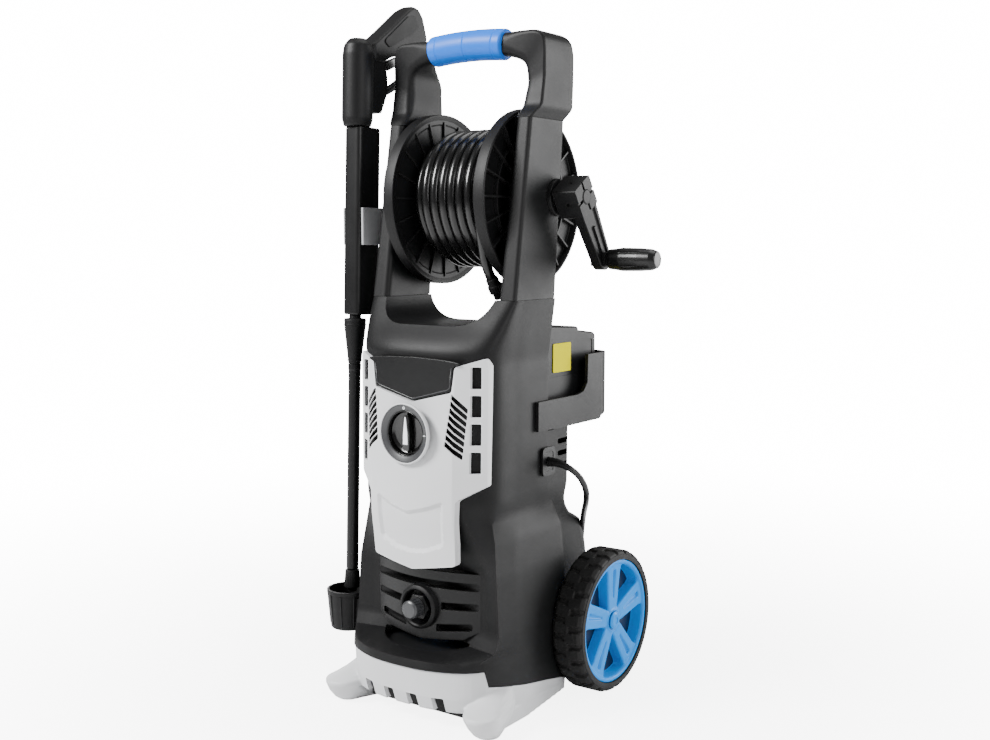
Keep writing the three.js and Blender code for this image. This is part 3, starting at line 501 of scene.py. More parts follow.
def front_housing():
    ring = section_of(SHELL)
    shell = loft("housing", [ring(z) for z in heights(SHELL, 6)])
    cavity = [ring(z, 3, 20) for z in heights([row for row in SHELL if row[0] < 470], 12)]
    cavity.append(ring(488, 5, 20, at=499))
    throat = fillet(oblong((-88, 88), (497, 620)), [50, 50, 0, 0], 16)
    skirt = [(-300, -50), (-300, 78), (-222, 78), (-216, 57), (0, 15), (0, -50)]

    def oval(name, wide, deep, span):
        return prism(name, "z", [(wide * math.cos(a), deep * math.sin(a) - 186) for a in angles(72)], span)

    carve(shell, loft("cavity", cavity), prism("throat", "y", throat, (-300, 0)),
        prism("skirt edge", "x", skirt, (-200, 200)), rod("knob hole", "y", 9, (-240, -200), KNOB, 32),
        rod("port hole", "y", 20, (-200, -170), PORT, 48), oval("dish", 72, 53, (87.5, 101)))
    put(soften(shell, 1.6, 3, 36), "machine", BLACK, "front_housing")
    put(soften(oval("recess_floor", 75, 56, (84, 88)), 0.5), "machine", BLACK)


def rear_housing():
    rows = [(20, -54.7, 84, 60, 18), (160, -54.7, 85, 60, 18), (218, -54.7, 85, 42, 18),
        (232, -54.7, 86, 12, 14), (262, -65.7, 93, -14, 12), (282, -79.7, 95, -11, 12),
        (355, -79.7, 95, -10, 12)]
    places = [row[0] for row in rows]
    front = straight(places, [row[1] for row in rows])
    width, back, corner = (steady(places, [row[k] for row in rows]) for k in (2, 3, 4))

    def ring(z, inset=0, shift=0):
        w, b = width(z) - inset, back(z) - inset
        outline = [(-w, front(z) + shift), (w, front(z) + shift), (w, b), (-w, b)]
        return [(x, y, z) for x, y in fillet(outline, [0, 0, corner(z), corner(z)], 8)]

    shell = loft("rear_shell", [ring(z) for z in heights(rows, 7)])
    hollow = loft("hollow", [ring(z, 3, -20) for z in heights([*rows[:-1], (352,)], 14)])
    plate = block("plate", (-86, 86), (SEAM_Y + GAP, SEAM_Y + 6), (350, 494))
    bosses = [rod("boss", "x", 15, (a, b), (0, AXLE_Z), 48) for a, b in ((-117.5, -80), (80, 117.5))]
    carve(shell, hollow)
    boolean(shell, "UNION", [plate, *bosses])
    slots = [prism("slot", "x", fillet(oblong((-42, -16), (z, z + 7)), 3, 4), (-120, 120))
        for z in (302, 318, 334)]
    bore = rod("bore", "x", 6.3, (-130, 130), (0, AXLE_Z), 32)
    carve(shell, *slots, bore)
    put(soften(shell, 1.2), "machine", BLACK, "rear_housing")
    for i, z in enumerate((60, 85, 110, 135, 160)):
        rib = block(f"rear_rib_{i}", (-60, 60), (59.5, 62.5), (z, z + 5))
        put(soften(rib, 1), "machine", BLACK)


# ---------------------------------------------------------------- the base
# Height, then the round tip's x, y and radius, then the root's x, y and radius.
TOE_ROWS = [(0, 113, -226, 12, 100, -196, 12), (1.5, 113, -227, 15, 100, -196, 15),
            (5, 113, -229, 18, 100, -196, 19), (15, 113, -234, 21.5, 99, -196, 24),
            (26, 112, -238, 23.4, 97, -196, 28), (30, 112, -238, 23.4, 96, -196, 30),
            (31.5, 112, -237.5, 22.2, 96, -196, 30), (34, 110, -231, 20, 95, -196, 30),
            (40, 105, -216, 18, 94, -194, 30), (48, 98, -202, 18, 92, -190, 28),
            (56, 94, -192, 16, 90, -186, 24)]


def hull(tip, root, count=48):
    """The outline around two circles, each an x, a y and a radius."""
    outline = []
    for a in angles(count):
        u, v = math.cos(a), math.sin(a)
        x, y, r = max((tip, root), key=lambda c: c[0] * u + c[1] * v + c[2])
        outline.append((x + r * u, y + r * v))
    return outline


def base_tray():
    ring = section_of(BASE)
    outer = [ring(z) for z in heights(BASE, 5)]
    inner = [ring(z + 5, 5, -6, at=z) for z in heights(BASE, 8)]
    tray = carve(loft("base", outer), loft("tray inside", inner))
    feet = []
    for side in (-1, 1):
        feet.append(loft("toe", [[(side * x, y, z) for x, y in hull(row[:3], row[3:])]
            for z, *row in TOE_ROWS]))
        rail = [(-228, 0.4), (-150, 0.4), (-58, 10), (-58, 20), (-228, 20)]
        feet.append(prism("rail", "x", rail, (98, 118) if side > 0 else (-118, -98)))
    for foot in feet:
        carve(foot, loft("tray inside", inner))
    base = melt("base_moulding", [tray, *feet], 1.3, 2)
    slots = [prism("slot", "y", fillet(oblong((x - 8, x + 8), (-5, 42.5)), [0, 0, 2, 2], 4), (-272, -227))
        for x in (-58, -21, 16, 53)]
    under = prism("under", "x", [(-290, -10), (-290, 24), (-212, 24), (-203, 10), (-203, -10)], (-87, 87))
    clear = prism("skirt clear", "x", [(-230, 77.7), (-222, 77.7), (-216, 56.7), (0, 14.7), (10, 14.7),
        (10, 120), (-230, 120)], (-200, 200))
    carve(base, *slots, under, clear)
    put(soften(base, 0.8, 2, 40), "machine", LIGHT, "base_tray")
    put(soften(block("base_baffle", (-76, 76), (-223, -220), (12, 50)), 0.8), "machine", BLACK)


# ---------------------------------------------------------------- the cover
# Height, then how far forward the face stands: on the mirror plane, at the crown's edge, at the outer edge.
COVER = [(190, -231.5, -225.5, -204), (228, -237, -229, -206), (268, -243, -233, -206),
    (315, -242, -233, -206), (366, -238, -230.5, -206), (404, -233, -228.5, -206),
    (465, -230, -226.5, -206)]
COVER_T = 4
CROWN_X = 64                   # half width of the crowned centre
SIDE_W = 39                    # width of the sloping strip beside it
cover_nose, cover_edge, cover_tail = (steady([row[0] for row in COVER], [row[k] for row in COVER])
    for k in (1, 2, 3))


def cover_y(x, z):
    """How far forward the cover's face stands."""
    nose, edge, tail = cover_nose(z), cover_edge(z), cover_tail(z)
    if abs(x) < CROWN_X:
        return nose + (edge - nose) * (x / CROWN_X) ** 2
    return edge + (tail - edge) * (abs(x) - CROWN_X) / SIDE_W


def mirrored(half):
    """A closed outline from its right half, which starts and ends on the mirror plane."""
    return [*half, *((-x, z) for x, z in reversed(half[1:-1]))]


def sunk(outline, depth, width):
    """How far a panel with sloping sides is sunk at a point: depth well inside the outline, 0 outside it."""
    def at(x, z):
        nearest, inside = width, False
        for (ax, az), (bx, bz) in zip(outline, outline[1:] + outline[:1]):
            dx, dz = bx - ax, bz - az
            t = min(max(((x - ax) * dx + (z - az) * dz) / (dx * dx + dz * dz), 0), 1)
            nearest = min(nearest, math.hypot(x - ax - dx * t, z - az - dz * t))
            if (az > z) != (bz > z) and x < ax + dx * (z - az) / dz:
                inside = not inside
        return depth * nearest / width if inside else 0.0

    return at


def thinned(x, z):
    """How much thinner the cover is behind its slats."""
    return 2.2 if 50 < abs(x) < 80 and 334 < z < 423 else 0.0


def skin(name, outline, thick, rim, sink):
    """A sheet on the cover's face inside an outline, sunk where sink says and thicker at its rim."""
    core = sunk(outline, rim - thick, 4)
    low, high = min(z for _, z in outline) - 2, max(z for _, z in outline) + 2
    columns = sorted({*range(-104, -60, 4), *range(64, 105, 4), -65, -63, 63, 65,
        *(1.25 * k for k in range(-46, 47))})
    rows = sorted({*(low + (high - low) * k / 60 for k in range(61)), *(208 + 1.25 * k for k in range(68))})
    rings = []
    for z in rows:
        rings.append([(x, cover_y(x, z) + sink(x, z), z) for x in columns]
            + [(x, cover_y(x, z) + rim - core(x, z) - thinned(x, z), z) for x in reversed(columns)])
    return keep_inside(loft(name, rings), prism("edge", "y", outline, (-270, -180)))


def vent_and_window_tools(side):
    windows = [fillet(oblong((side * 81, side * 93), (z, z + 26.5)), 1.5, 3)
        for z in (320.5, 355, 389.5, 424)]
    slats = []
    for k in range(8):
        low, high = (k + 0.08) / 8, (k + 0.92) / 8
        corners = [(52 + 8 * t, 353 + 66 * t) for t in (low, high)] + [(74 + 5 * t, 336 + 64 * t)
            for t in (high, low)]
        slats.append(fillet([(side * x, z) for x, z in corners], 1.2, 3))
    return [prism("hole", "y", outline, (-260, -190)) for outline in (*windows, *slats)]


def front_cover():
    half = [(0, 193), (64, 204), (67, 286), (99, 305), (100, 452), (97, 461), (64, 450), (60, 419),
        (0, 404)]
    outline = mirrored(half)
    radii = [0, 6, 5, 4, 3, 2, 5, 5, 0]
    shield = fillet(mirrored([(0, 269), (26, 275.5), (53, 286), (50, 228), (24, 217), (0, 214)]),
        [6, 6, 4, 7, 10, 6, 10, 7, 4, 6], 4)
    cover = skin("cover", fillet(outline, [*radii, *reversed(radii[1:-1])], 5), COVER_T, 11,
        sunk(shield, 3.6, 5))
    carve(cover, *vent_and_window_tools(-1), *vent_and_window_tools(1),
        rod("knob hole", "y", 31, (-260, -200), KNOB, 96))
    put(soften(cover, 0.9, 3, 28), "machine", LIGHT, "front_cover")
    badge = mirrored([(0, 405.5), (58.5, 420.5), (62, 450), (76, 455.5), (40, 458.5), (0, 459.5)])
    panel = prism("badge", "y", fillet(badge, 4, 4), (-228, -224))
    put(soften(panel, 0.8, 3), "machine", FINE_BLACK, "badge_panel")
    # a raised bead along the badge's lower edge, whose lighter bezel grey is a painted highlight line along
    # the rim
    half = [(4, 408.6), (53, 421.7), (57, 424.5), (60, 449)]
    line = [*((-x, z) for x, z in reversed(half)), (0, 408), *half]
    put(tube("badge_rim_painted_highlight", [Vector((x, -228.1, z)) for x, z in line], 0.7, 8), "machine", BEZEL)


def control_knob():
    bezel = lathe("bezel", "y", fillet([(28.4, -230), (28.4, -243.4), (29.6, -244.4), (35.2, -246.4),
        (36.2, -246), (36.2, -242.6), (29.7, -242.6), (29.7, -230)], 0.5, 3), KNOB, 128)
    put(bezel, "machine", BEZEL, "switch_bezel")
    lip = lathe("bezel_lip", "y", fillet([(36.3, -242.6), (36.3, -247.4), (37.4, -247.4), (38.2, -245.6),
        (38.2, -242.6)], 0.6, 3), KNOB, 128)
    put(lip, "machine", LIGHT)
    well = lathe("knob_well", "y", fillet([(27.2, -229.6), (27.2, -243.6), (28.2, -243.6), (28.2, -229.6)],
        0.4, 2), KNOB, 128)
    put(well, "machine", GLOSS)
    for name, turn, marks in (("mark_off", 0, 24), ("mark_on", 90, 0)):
        angle = math.radians(90 - turn)
        x, z = 31.9 * math.cos(angle), KNOB[1] + 31.9 * math.sin(angle)
        if marks:
            mark = lathe(name, "y", oblong((1, 1.6), (-246.2, -245)), (x, z), marks)
        else:
            mark = block(name, (x - 1.6, x + 1.6), (-246.2, -245), (z - 0.35, z + 0.35))
        put(mark, "machine", WHITE)
    disc = lathe("knob_disc", "y", fillet([(0, -236), (22, -236), (25.5, -238), (26.8, -237), (26.8, -229),
        (7, -229), (7, -196), (0, -196)], [0, 4, 1, 1, 1, 1, 1, 0], 3), KNOB, 96)
    z0 = KNOB[1]
    bar = loft("knob_bar", [[(x, y, z0 + h) for x, y in fillet([(-w, -236.5), (w, -236.5), (w * 0.7, -243),
        (-w * 0.7, -243)], 1.6, 4)] for h, w in ((-22, 5), (-20, 7), (0, 8), (18, 5.5), (22, 3.5))])
    put(crisp(merged("knob", [disc, bar]), 35), "knob", GLOSS, "switch_knob")
    pointer = loft("knob_pointer", [[(x, y, z0 + h) for x, y in ((-w, -242.8), (w, -242.8), (w, -243.6),
        (-w, -243.6))] for h, w in ((-14, 3.6), (0, 3.2), (20, 0.9))])
    put(soften(pointer, 0.3), "knob", WHITE)


# ---------------------------------------------------------------- the lower recess
BOW = [(-88, -196), (-60, -206), (-30, -213.5), (0, -216.5), (30, -213.5), (60, -206), (88, -196)]


def recess():
    front = [(p.x, p.y) for p in through([Vector((*p, 0)) for p in BOW], 8)]
    back = [(x, y + 4) for x, y in reversed(front)]
    panel = prism("grille", "z", [*front, *back], (95, 195))
    edge = fillet([(-88, 121), (-60, 105), (0, 100), (60, 105), (88, 121), (88, 190), (-88, 190)], 4, 5)
    keep_inside(panel, prism("edge", "y", edge, (-240, -180)))
    gaps = [prism("gap", "y", fillet(oblong((-81, 81), (168, 178)), 4.6, 6), (-230, -180))]
    for z, near, reach, rise in ((112, 24, 72, 5), (141, 31, 80, 2)):
        for side in (-1, 1):
            outline = [(side * near, z), (side * reach, z + rise), (side * reach, z + rise + 9.5),
                (side * near, z + 9.5)]
            gaps.append(prism("gap", "y", fillet(outline, [1, 4.4, 4.4, 1], 6), (-230, -180)))
    carve(panel, *gaps, rod("port", "y", 23, (-230, -200), PORT, 96))
    put(soften(panel, 0.9, 3), "machine", FINE_BLACK, "recess_grille")
    collar = lathe("port_collar", "y", fillet([(22, -222), (24, -224), (28, -222), (29, -212), (29, -208),
        (22, -208)], 1, 3), PORT, 96)
    put(crisp(collar), "machine", BLACK)
    seal = lathe("port_seal", "y", fillet(oblong((14.3, 22), (-176, -173)), 0.5, 2), PORT, 64)
    put(crisp(seal), "machine", BLACK)
    nut = prism("port_nut", "y", [(17 * math.cos(a), PORT[1] + 17 * math.sin(a)) for a in angles(6)],
        (-221, -214))
    pipe = lathe("port_pipe", "y", oblong((8, 14), (-222, -152)), PORT, 64)
    put(soften(merged("inlet", [nut, pipe]), 0.7), "machine", FINE_BLACK, "water_inlet")
    cap = lathe("cap", "y", fillet([(0, -240), (9.5, -240), (12, -238), (12, -222.3), (7.5, -222.3),
        (7.5, -205), (0, -205)], [0, 1.5, 1.5, 0.6, 0.6, 0.8, 0], 3), PORT, 96)
    flutes = pegs("y", 18, 12.1, 0.9, (-236, -224), PORT)
    put(crisp(carve(cap, merged("flutes", flutes))), "inlet_plug", BEZEL, "inlet_cap")


# ---------------------------------------------------------------- columns and handle
def between(rows, steps):
    """The rows with more of them between, each value changing steadily."""
    flat = [(*row[:-1], *row[-1]) for row in rows]
    curves = [steady(list(range(len(rows))), list(values)) for values in zip(*flat)]
    places = [k / steps for k in range((len(rows) - 1) * steps + 1)]
    return [(*values[:-4], values[-4:]) for values in ([curve(t) for curve in curves] for t in places)]


def columns():
    for name, side in (("left", -1), ("right", 1)):
        def ring(z, inner, outer, front, rear, wall=0):
            corners = [(inner + wall, rear - wall), (inner + wall, front + wall),
                (outer - wall, front + wall), (outer - wall, rear - wall)]
            return [(side * x, y, z) for x, y in fillet(corners, [1.5, 9, 6, 4], 6)]

        ends = ((SEAM_Z + GAP, 88, 114, -171, -80), (752, 90, 112, -135, -58))
        rows = [[a + (b - a) * t for a, b in zip(*ends)] for t in (k / 12 for k in range(13))]
        column = loft(f"column_{name}_moulding", [ring(*row) for row in rows])
        inside = loft("inside", [ring(528, 88, 114, -171, -80, 3), ring(744, 90, 112, -135, -58, 3)])
        span = (80, 120) if side > 0 else (-120, -80)
        hole = rod("hole", "x", 16.3, span, REEL, 64)
        carve(column, inside, hole)
        put(soften(column, 0.9, 3), "machine", BLACK, f"column_{name}")
        x0, x1 = (112.6, 118) if side > 0 else (-118, -112.6)
        ring_cap = lathe(f"column_collar_{name}", "x", fillet([(16.3, x0), (24, x0), (23, x1), (16.3, x1)]
            if side > 0 else [(16.3, x1), (24, x1), (23, x0), (16.3, x0)], 1.2, 4), REEL, 64)
        put(crisp(ring_cap), "machine", BLACK)


BAR_Y, BAR_Z, BAR_DROP = -106, 849, 9


def arch(half, count=24):
    """Points of the handle's arched bar out to a distance on each side."""
    places = [half * (2 * k / count - 1) for k in range(count + 1)]
    return [(x, BAR_Y, BAR_Z - BAR_DROP * (x / 98) ** 2) for x in places]


# From the bar to the column: the inner edge's x and z, the outer edge's x and z, the front and rear y, and
# the rounding of the rear inner, front inner, front outer and rear outer corners.
ARM = [(40, 834, 40, 861, -119.4, -92.6, (13, 13, 13, 13)), (60, 831, 60, 860.5, -119.6, -91,
    (13, 13, 13, 13)), (72, 828, 72, 860, -119.8, -84, (11, 13, 10, 10)),
    (82, 824, 86, 860, -119, -73, (9, 12, 7, 7)), (86, 821, 103, 859.5, -118, -62, (8, 12, 6, 6)),
    (88.5, 817, 114, 855.5, -117, -55, (7, 12, 5, 5)), (90, 811, 118.8, 846, -116, -49, (6, 12, 4, 4)),
    (90.5, 803, 119.5, 829, -115.5, -46, (6, 12, 4, 4)), (90.5, 796, 119.5, 808, -115.5, -46,
    (6, 12, 4, 4)), (89.5, 780, 119.5, 784, -119, -47, (5, 11, 4, 4)),
    (89, 769, 119.5, 769, -122, -48, (4, 10, 4, 4)), (88.5, 758, 115, 758, -131, -54, (3, 9, 4, 4)),
    (88, 752.3, 112, 752.3, -135, -58, (2, 8, 5, 4))]


def handle():
    def ring(side, x0, z0, x1, z1, front, rear, rounding):
        width = math.hypot(x1 - x0, z1 - z0)
        outline = fillet([(0, rear), (0, front), (width, front), (width, rear)], rounding, 6)
        return [(side * (x0 + (x1 - x0) * u / width), y, z0 + (z1 - z0) * u / width) for u, y in outline]

    rows = between(ARM, 4)
    rings = [ring(1, *row) for row in reversed(rows)] + [ring(-1, *row) for row in rows]
    put(soften(loft("handle_moulding", rings), 0.8, 2, 50), "machine", BLACK, "carry_handle")

    def swell(share):
        ends = min(share, 1 - share)
        round_end = math.sqrt(max(0.0, 1 - (1 - min(ends / 0.03, 1)) ** 2))
        grooves = sum(math.exp(-((share - place) / 0.006) ** 2) for place in (0.12, 0.5, 0.88))
        return 14.4 + 5.1 * round_end - 0.5 * grooves

    sleeve = tube("handle_sleeve", arch(58, 160), swell, 48)
    carve(sleeve, tube("bore", arch(60), 14.1, 32))
    put(crisp(sleeve, 40), "machine", GRIP, "handle_grip")


# ---------------------------------------------------------------- the hose reel
def spun(points, turn):
    """Points of (place along the reel's axis, radius, sideways), turned about that axis."""
    c, s = math.cos(turn), math.sin(turn)
    return [(x, REEL[0] + r * c - w * s, REEL[1] + r * s + w * c) for x, r, w in points]


def rib(name, x, radii, half_width, turn):
    """A thin radial rib on a disc of the reel."""
    corners = [(x[0], w) for w in (-half_width, half_width)] + [(x[1], w)
        for w in (half_width, -half_width)]
    rings = [spun([(along, r, w) for along, w in corners], turn) for r in radii]
    return loft(name, rings)


def reel_flanges():
    for name, side in (("left", -1), ("right", 1)):
        profile = fillet([(DRUM_R - 8, 0), (52, 0), (54, 1.2), (98, 1.2), (100, 0), (105, 0),
            (FLANGE_R, -3), (FLANGE_R, 13), (109, 13), (107.5, 4), (DRUM_R - 8, 4)],
            [0.5, 1, 1, 1, 1, 2, 1.2, 1.2, 1.2, 1.5, 0.5], 3)
        disc = lathe("disc", "x", [(r, side * (FLANGE_X + x)) for r, x in profile], REEL, 144)
        ribs = []
        inner = [side * (FLANGE_X + x) for x in (-1.6, 1.6)]
        outer = [side * (FLANGE_X + x) for x in (3.8, 10)]
        for turn in angles(20):
            ribs += [rib("rib", inner, (50, 103), 0.9, turn), rib("rib", outer, (44, 108), 1.1, turn)]
        rims = [lathe("rim", "x", [(r, side * (FLANGE_X + x)) for r, x in ((a, 3.8), (a + 2.2, 3.8),
            (a + 2.2, 9), (a, 9))], REEL, 96) for a in (44, 76)]
        flange = merged(f"flange_{name}", [disc, *ribs, *rims])
        put(crisp(flange, 30), "reel", BLACK, f"reel_flange_{name}")


def drum():
    half = FLANGE_X + 4
    profile = [(SHAFT_R + 0.3, -6), (DRUM_R - 12, -6), (DRUM_R - 12, -half), (DRUM_R - 8.3, -half),
        (DRUM_R - 8.3, -FLANGE_X + GAP), (DRUM_R, -FLANGE_X + GAP), (DRUM_R, FLANGE_X - GAP),
        (DRUM_R - 8.3, FLANGE_X - GAP), (DRUM_R - 8.3, half), (DRUM_R - 12, half), (DRUM_R - 12, 6),
        (SHAFT_R + 0.3, 6)]
    barrel = lathe("barrel", "x", fillet(profile, 0.5, 2), REEL, 96)
    webs = [rib("web", (a, b), (SHAFT_R + 1, DRUM_R - 11), 1.5, turn) for turn in angles(8)
        for a, b in ((-half + 4, -5), (5, half - 4))]
    put(crisp(merged("drum", [barrel, *webs])), "reel", BLACK, "reel_drum")


SHAFT_R = 9
HOSE_R = 6.5
HOSE_PITCH = 13.3
LAYER_R = (50, 61.5, 73, 83.2)
LEAVE = math.radians(196)      # where the hose leaves the top layer, as an angle about the reel
TAIL = [(50, -152.5, 612), (50, -146.8, 589), (50.5, -143.6, 575), (52, -138.5, 562), (54, -130, 547)]


def helix(radius, x_from, x_to, start, turns):
    """Points of one layer of hose on the drum, ending at the angle start."""
    count = round(turns * 56)
    made = []
    for k in range(count + 1):
        share = k / count
        angle = start - 2 * math.pi * turns * (1 - share)
        x = x_from + (x_to - x_from) * share
        made.append((x, REEL[0] + radius * math.cos(angle), REEL[1] + radius * math.sin(angle)))
    return made


def hose():
    layers = []
    for n, radius in enumerate(LAYER_R[:-1]):
        turns = (FLANGE_X * 2 - 16) / HOSE_PITCH - 0.25 * (n % 2)
        start = LEAVE + n
        layers.append(tube("layer", helix(radius, -57 + 2 * n, 57 - n, start, turns), HOSE_R, 14))
    top = helix(LAYER_R[-1], -40, 50, LEAVE, 90 / HOSE_PITCH)
    body = tube("layer", top, HOSE_R, 18)
    put(merged("hose_turns", [*layers, body]), "reel", HOSE, "hose_winding")
    last = Vector(top[-1])
    tail = through([Vector(top[-3]), last, *(Vector(p) for p in TAIL)], 10)
    put(tube("hose_end", tail, HOSE_R, 20), "reel", HOSE, "hose_tail")
    here, ahead = Vector(TAIL[-1]), (Vector(TAIL[-1]) - Vector(TAIL[-2])).normalized()
    turn = Vector((0, 0, 1)).rotation_difference(ahead).to_matrix().to_4x4()
    space = TO_ROW @ Matrix.Translation(here) @ turn
    ferrule = lathe("ferrule", "z", fillet([(0, -9), (7.4, -9), (8, -7.5), (8, 0.4), (9, 0.4), (9, 11),
        (7, 12), (7, 20), (0, 20)], [0, 0.5, 0.5, 0.3, 0.6, 0.6, 0.3, 0.8, 0], 3), sides=64, space=space)
    ribs = pegs("z", 20, 8.9, 0.7, (1.5, 10), sides=6, space=space)
    put(crisp(merged("hose_fitting", [ferrule, *ribs])), "reel", BLACK, "hose_connector")


# ---------------------------------------------------------------- the crank
def crank():
    dy, dz = CRANK_PIN[0] - REEL[0], CRANK_PIN[1] - REEL[1]
    angle = math.atan2(dz, dy)
    reach = math.hypot(dy, dz)

    def turned(u, v):
        return (REEL[0] + u * math.cos(angle) - v * math.sin(angle), REEL[1] + u * math.sin(angle) + v
            * math.cos(angle))

    def capsule(near, far, steps=20):
        outline = []
        for centre, r, start in ((0, near, math.pi / 2), (reach, far, -math.pi / 2)):
            for k in range(steps + 1):
                a = start + math.pi * k / steps
                outline.append(turned(centre + r * math.cos(a), r * math.sin(a)))
        return outline

    arm = prism("arm", "x", capsule(20, 14), (CRANK_X - 5, CRANK_X + 9))
    well = prism("well", "x", capsule(13, 9), (CRANK_X + 6.5, CRANK_X + 12))
    carve(arm, well)
    bake(soften(arm, 1.2, 3))

    clamp = prism("clamp", "x", [turned(u, v) for u, v in fillet(oblong((-20, 20), (-20, 20)), 3, 3)],
        (122, CRANK_X + 10.5))
    slits = [prism("slit", "x", [turned(u, v) for u, v in ((-w, -d), (w, -d), (w, d), (-w, d))],
        (CRANK_X - 8, CRANK_X + 14)) for w, d in ((2, 24), (24, 2))]
    bore = rod("bore", "x", 9.3, (120, 150), REEL, 48)
    carve(clamp, *slits, bore)
    bake(soften(clamp, 1.0, 2))
    hub = lathe("hub", "x", fillet([(9.3, 118), (16, 118), (17, 120), (17, 124), (9.3, 124)], 1.0, 3), REEL,
        48)
    cap = lathe("cap", "x", fillet([(0, CRANK_X + 6), (10, CRANK_X + 6), (10, CRANK_X + 10.5),
        (8, CRANK_X + 11.5), (0, CRANK_X + 11.5)], [0, 0, 1, 1, 0], 3), REEL, 48)
    rail = rib("rail", (CRANK_X + 5, CRANK_X + 9), (44, reach - 8), 2, angle)
    square = block("square", (CRANK_X - 9, CRANK_X + 14), (CRANK_PIN[0] - 9, CRANK_PIN[0] + 9),
        (CRANK_PIN[1] - 9, CRANK_PIN[1] + 9))
    bake(soften(square, 1.5, 3))
    pin = rod("pin", "x", 5, (CRANK_X, CRANK_X + 76), CRANK_PIN, 32)
    put(crisp(merged("crank", [arm, clamp, hub, cap, rail, pin, square]), 30), "reel", BLACK, "crank_arm")
    x = CRANK_X + 14.3
    profile = [(5.3, x), (10.5, x), (13, x + 2), (13.6, x + 10), (15, x + 20), (14.6, x + 46),
        (13.4, x + 62), (10.5, x + 69.5), (0, x + 70), (0, x + 63), (5.3, x + 63)]
    grip = lathe("grip", "x", fillet(profile, [0.5, 1, 2, 3, 8, 8, 5, 3, 0, 0, 0.5], 4), CRANK_PIN, 96)
    flutes = [tube("flute", [(x + 12 + 40 * t, CRANK_PIN[0] + (15.4 - 0.3 * t) * math.cos(a),
        CRANK_PIN[1] + (15.4 - 0.3 * t) * math.sin(a)) for t in (k / 8 for k in range(9))],
        lambda share: 1.15 * math.sin(math.pi * min(max(share, 0.05), 0.95)) ** 0.4, 10)
        for a in angles(10)]
    carve(grip, merged("flutes", flutes))
    put(crisp(grip, 30), "crank_handle", GRIP_BLACK, "crank_grip")


# ---------------------------------------------------------------- the wheels
TREADS = 26                    # slots in each row of a tyre's tread


def tread_depth(angle, share):
    """How deep the tread is cut: a row of slots on each side, half a step out of line with each other."""
    place_in = (angle * TREADS / (2 * math.pi) + (0.5 if share > 0 else 0) + 0.16 * abs(share)) % 1
    return 2.6 if place_in < 0.3 else 0.0


def wheel(name, side):
    half = TYRE_W / 2
    space = (TO_ROW @ Matrix.Translation((side * (WHEEL_FACE - half), 0, AXLE_Z))
        @ Matrix.Rotation(0 if side > 0 else math.pi, 4, "Z"))
    body = f"wheel_{name}"
    wall = fillet([(82.7, -half), (88, -half), (92.5, -half + 1.5), (WHEEL_R, -half + 6)], [0, 2, 3, 0], 4)
    tread = [(WHEEL_R, x) for x in (-half + 6, -half + 7.5, -12, -9, -6, -3, -1.6)]
    left = [*wall[:-1], *tread]
    profile = [*left, *((r, -x) for r, x in reversed(left))]
    rings = []
    for angle in angles(TREADS * 12):
        ring = []
        for r, x in profile:
            depth = tread_depth(angle, x / half) if r > 90 and abs(x) > 1.7 else 0
            fade = min(1, max(0, (half - abs(x)) / 3 + 0.4))
            ring.append((x, (r - depth * fade) * math.cos(angle), (r - depth * fade) * math.sin(angle)))
        rings.append(ring)
    tyre = loft(f"tyre_{name}_rubber", rings, space, looped=True)
    beads = [lathe("bead", "x", fillet([(r, s * (half - 0.8)), (r + 1.6, s * (half - 0.8)),
        (r + 1.2, s * (half + 0.15)), (r + 0.4, s * (half + 0.15))], 0.3, 2), (0, 0), 96, space)
        for r in (84.2, 88.5) for s in (-1, 1)]
    put(crisp(merged(f"tyre_{name}_treads", [tyre, *beads]), 28), body, TYRE, f"tyre_{name}")
    rim = lathe("rim", "x", fillet([(76, -half + 2), (82.4, -half + 2), (82.4, half - 1.5),
        (78, half - 1.5), (75.5, half - 4), (73, 1.5), (17, 0), (17, -6), (72, -5)],
        [1, 0.8, 1.2, 1.2, 1.5, 4, 1, 1, 3], 4), (0, 0), 128, space)
    boss = lathe("boss", "x", fillet([(6.4, -half + 4), (18, -half + 4), (18, half - 9), (15, half - 5),
        (12.4, half - 5), (12.4, half - 7), (6.4, half - 7)], [0.4, 1, 3, 1.5, 0.4, 0.4, 0.4], 3), (0, 0),
        64, space)
    spokes = []
    for angle in angles(5):
        turn = Matrix.Rotation(angle, 4, "X")
        rows = []
        for r, w, x in ((11, 9.5, half - 6.5), (22, 12, half - 6), (45, 14.5, half - 5.5),
                (66, 16.5, half - 4.5), (79, 21, half - 3.5)):
            ring = fillet([(x, -w), (x, w), (0, w * 1.15), (0, -w * 1.15)], [2.5, 2.5, 0, 0], 4)
            rows.append([(along, across_, r) for along, across_ in ring])
        spokes.append(loft("spoke", rows, space @ turn))
        groove = [[(along, across_, r) for along, across_ in fillet([(half - 3, -w), (half - 3, w),
            (half - 8, w * 0.6), (half - 8, -w * 0.6)], 0.8, 2)] for r, w in ((30, 2.2), (50, 3.4),
            (69, 5))]
        carve(spokes[-1], loft("groove", groove, space @ turn))
    hub = melt(f"hub_{name}_moulding", [rim, boss, *spokes], 1.25, 3)
    bore = rod("bore", "x", 6.4, (-half, half), (0, 0), 32, space)
    put(carve(hub, bore), body, HUB, f"hub_{name}")
    # a disc of painted shade behind the spokes, darker blue where the hub's web is really the same blue as
    # the rest
    recess = lathe(f"recess_{name}", "x", fillet([(18.3, 1.2), (73, 2.6), (73, 3.4), (18.3, 2)], 0.2, 2),
        (0, 0), 96, space)
    put(recess, body, SHADE_PAINTED_BLUE)
    cap = lathe(f"cap_{name}", "x", fillet([(0, half - 4.8), (12, half - 4.8), (12, half - 3),
        (8.5, half - 1.6), (5, half - 1.6), (4.6, half - 2.4), (0, half - 2.4)],
        [0, 0.4, 1, 1, 0.3, 0.3, 0], 3), (0, 0), 96, space)
    put(crisp(cap), body, HUB, f"wheel_cap_{name}")


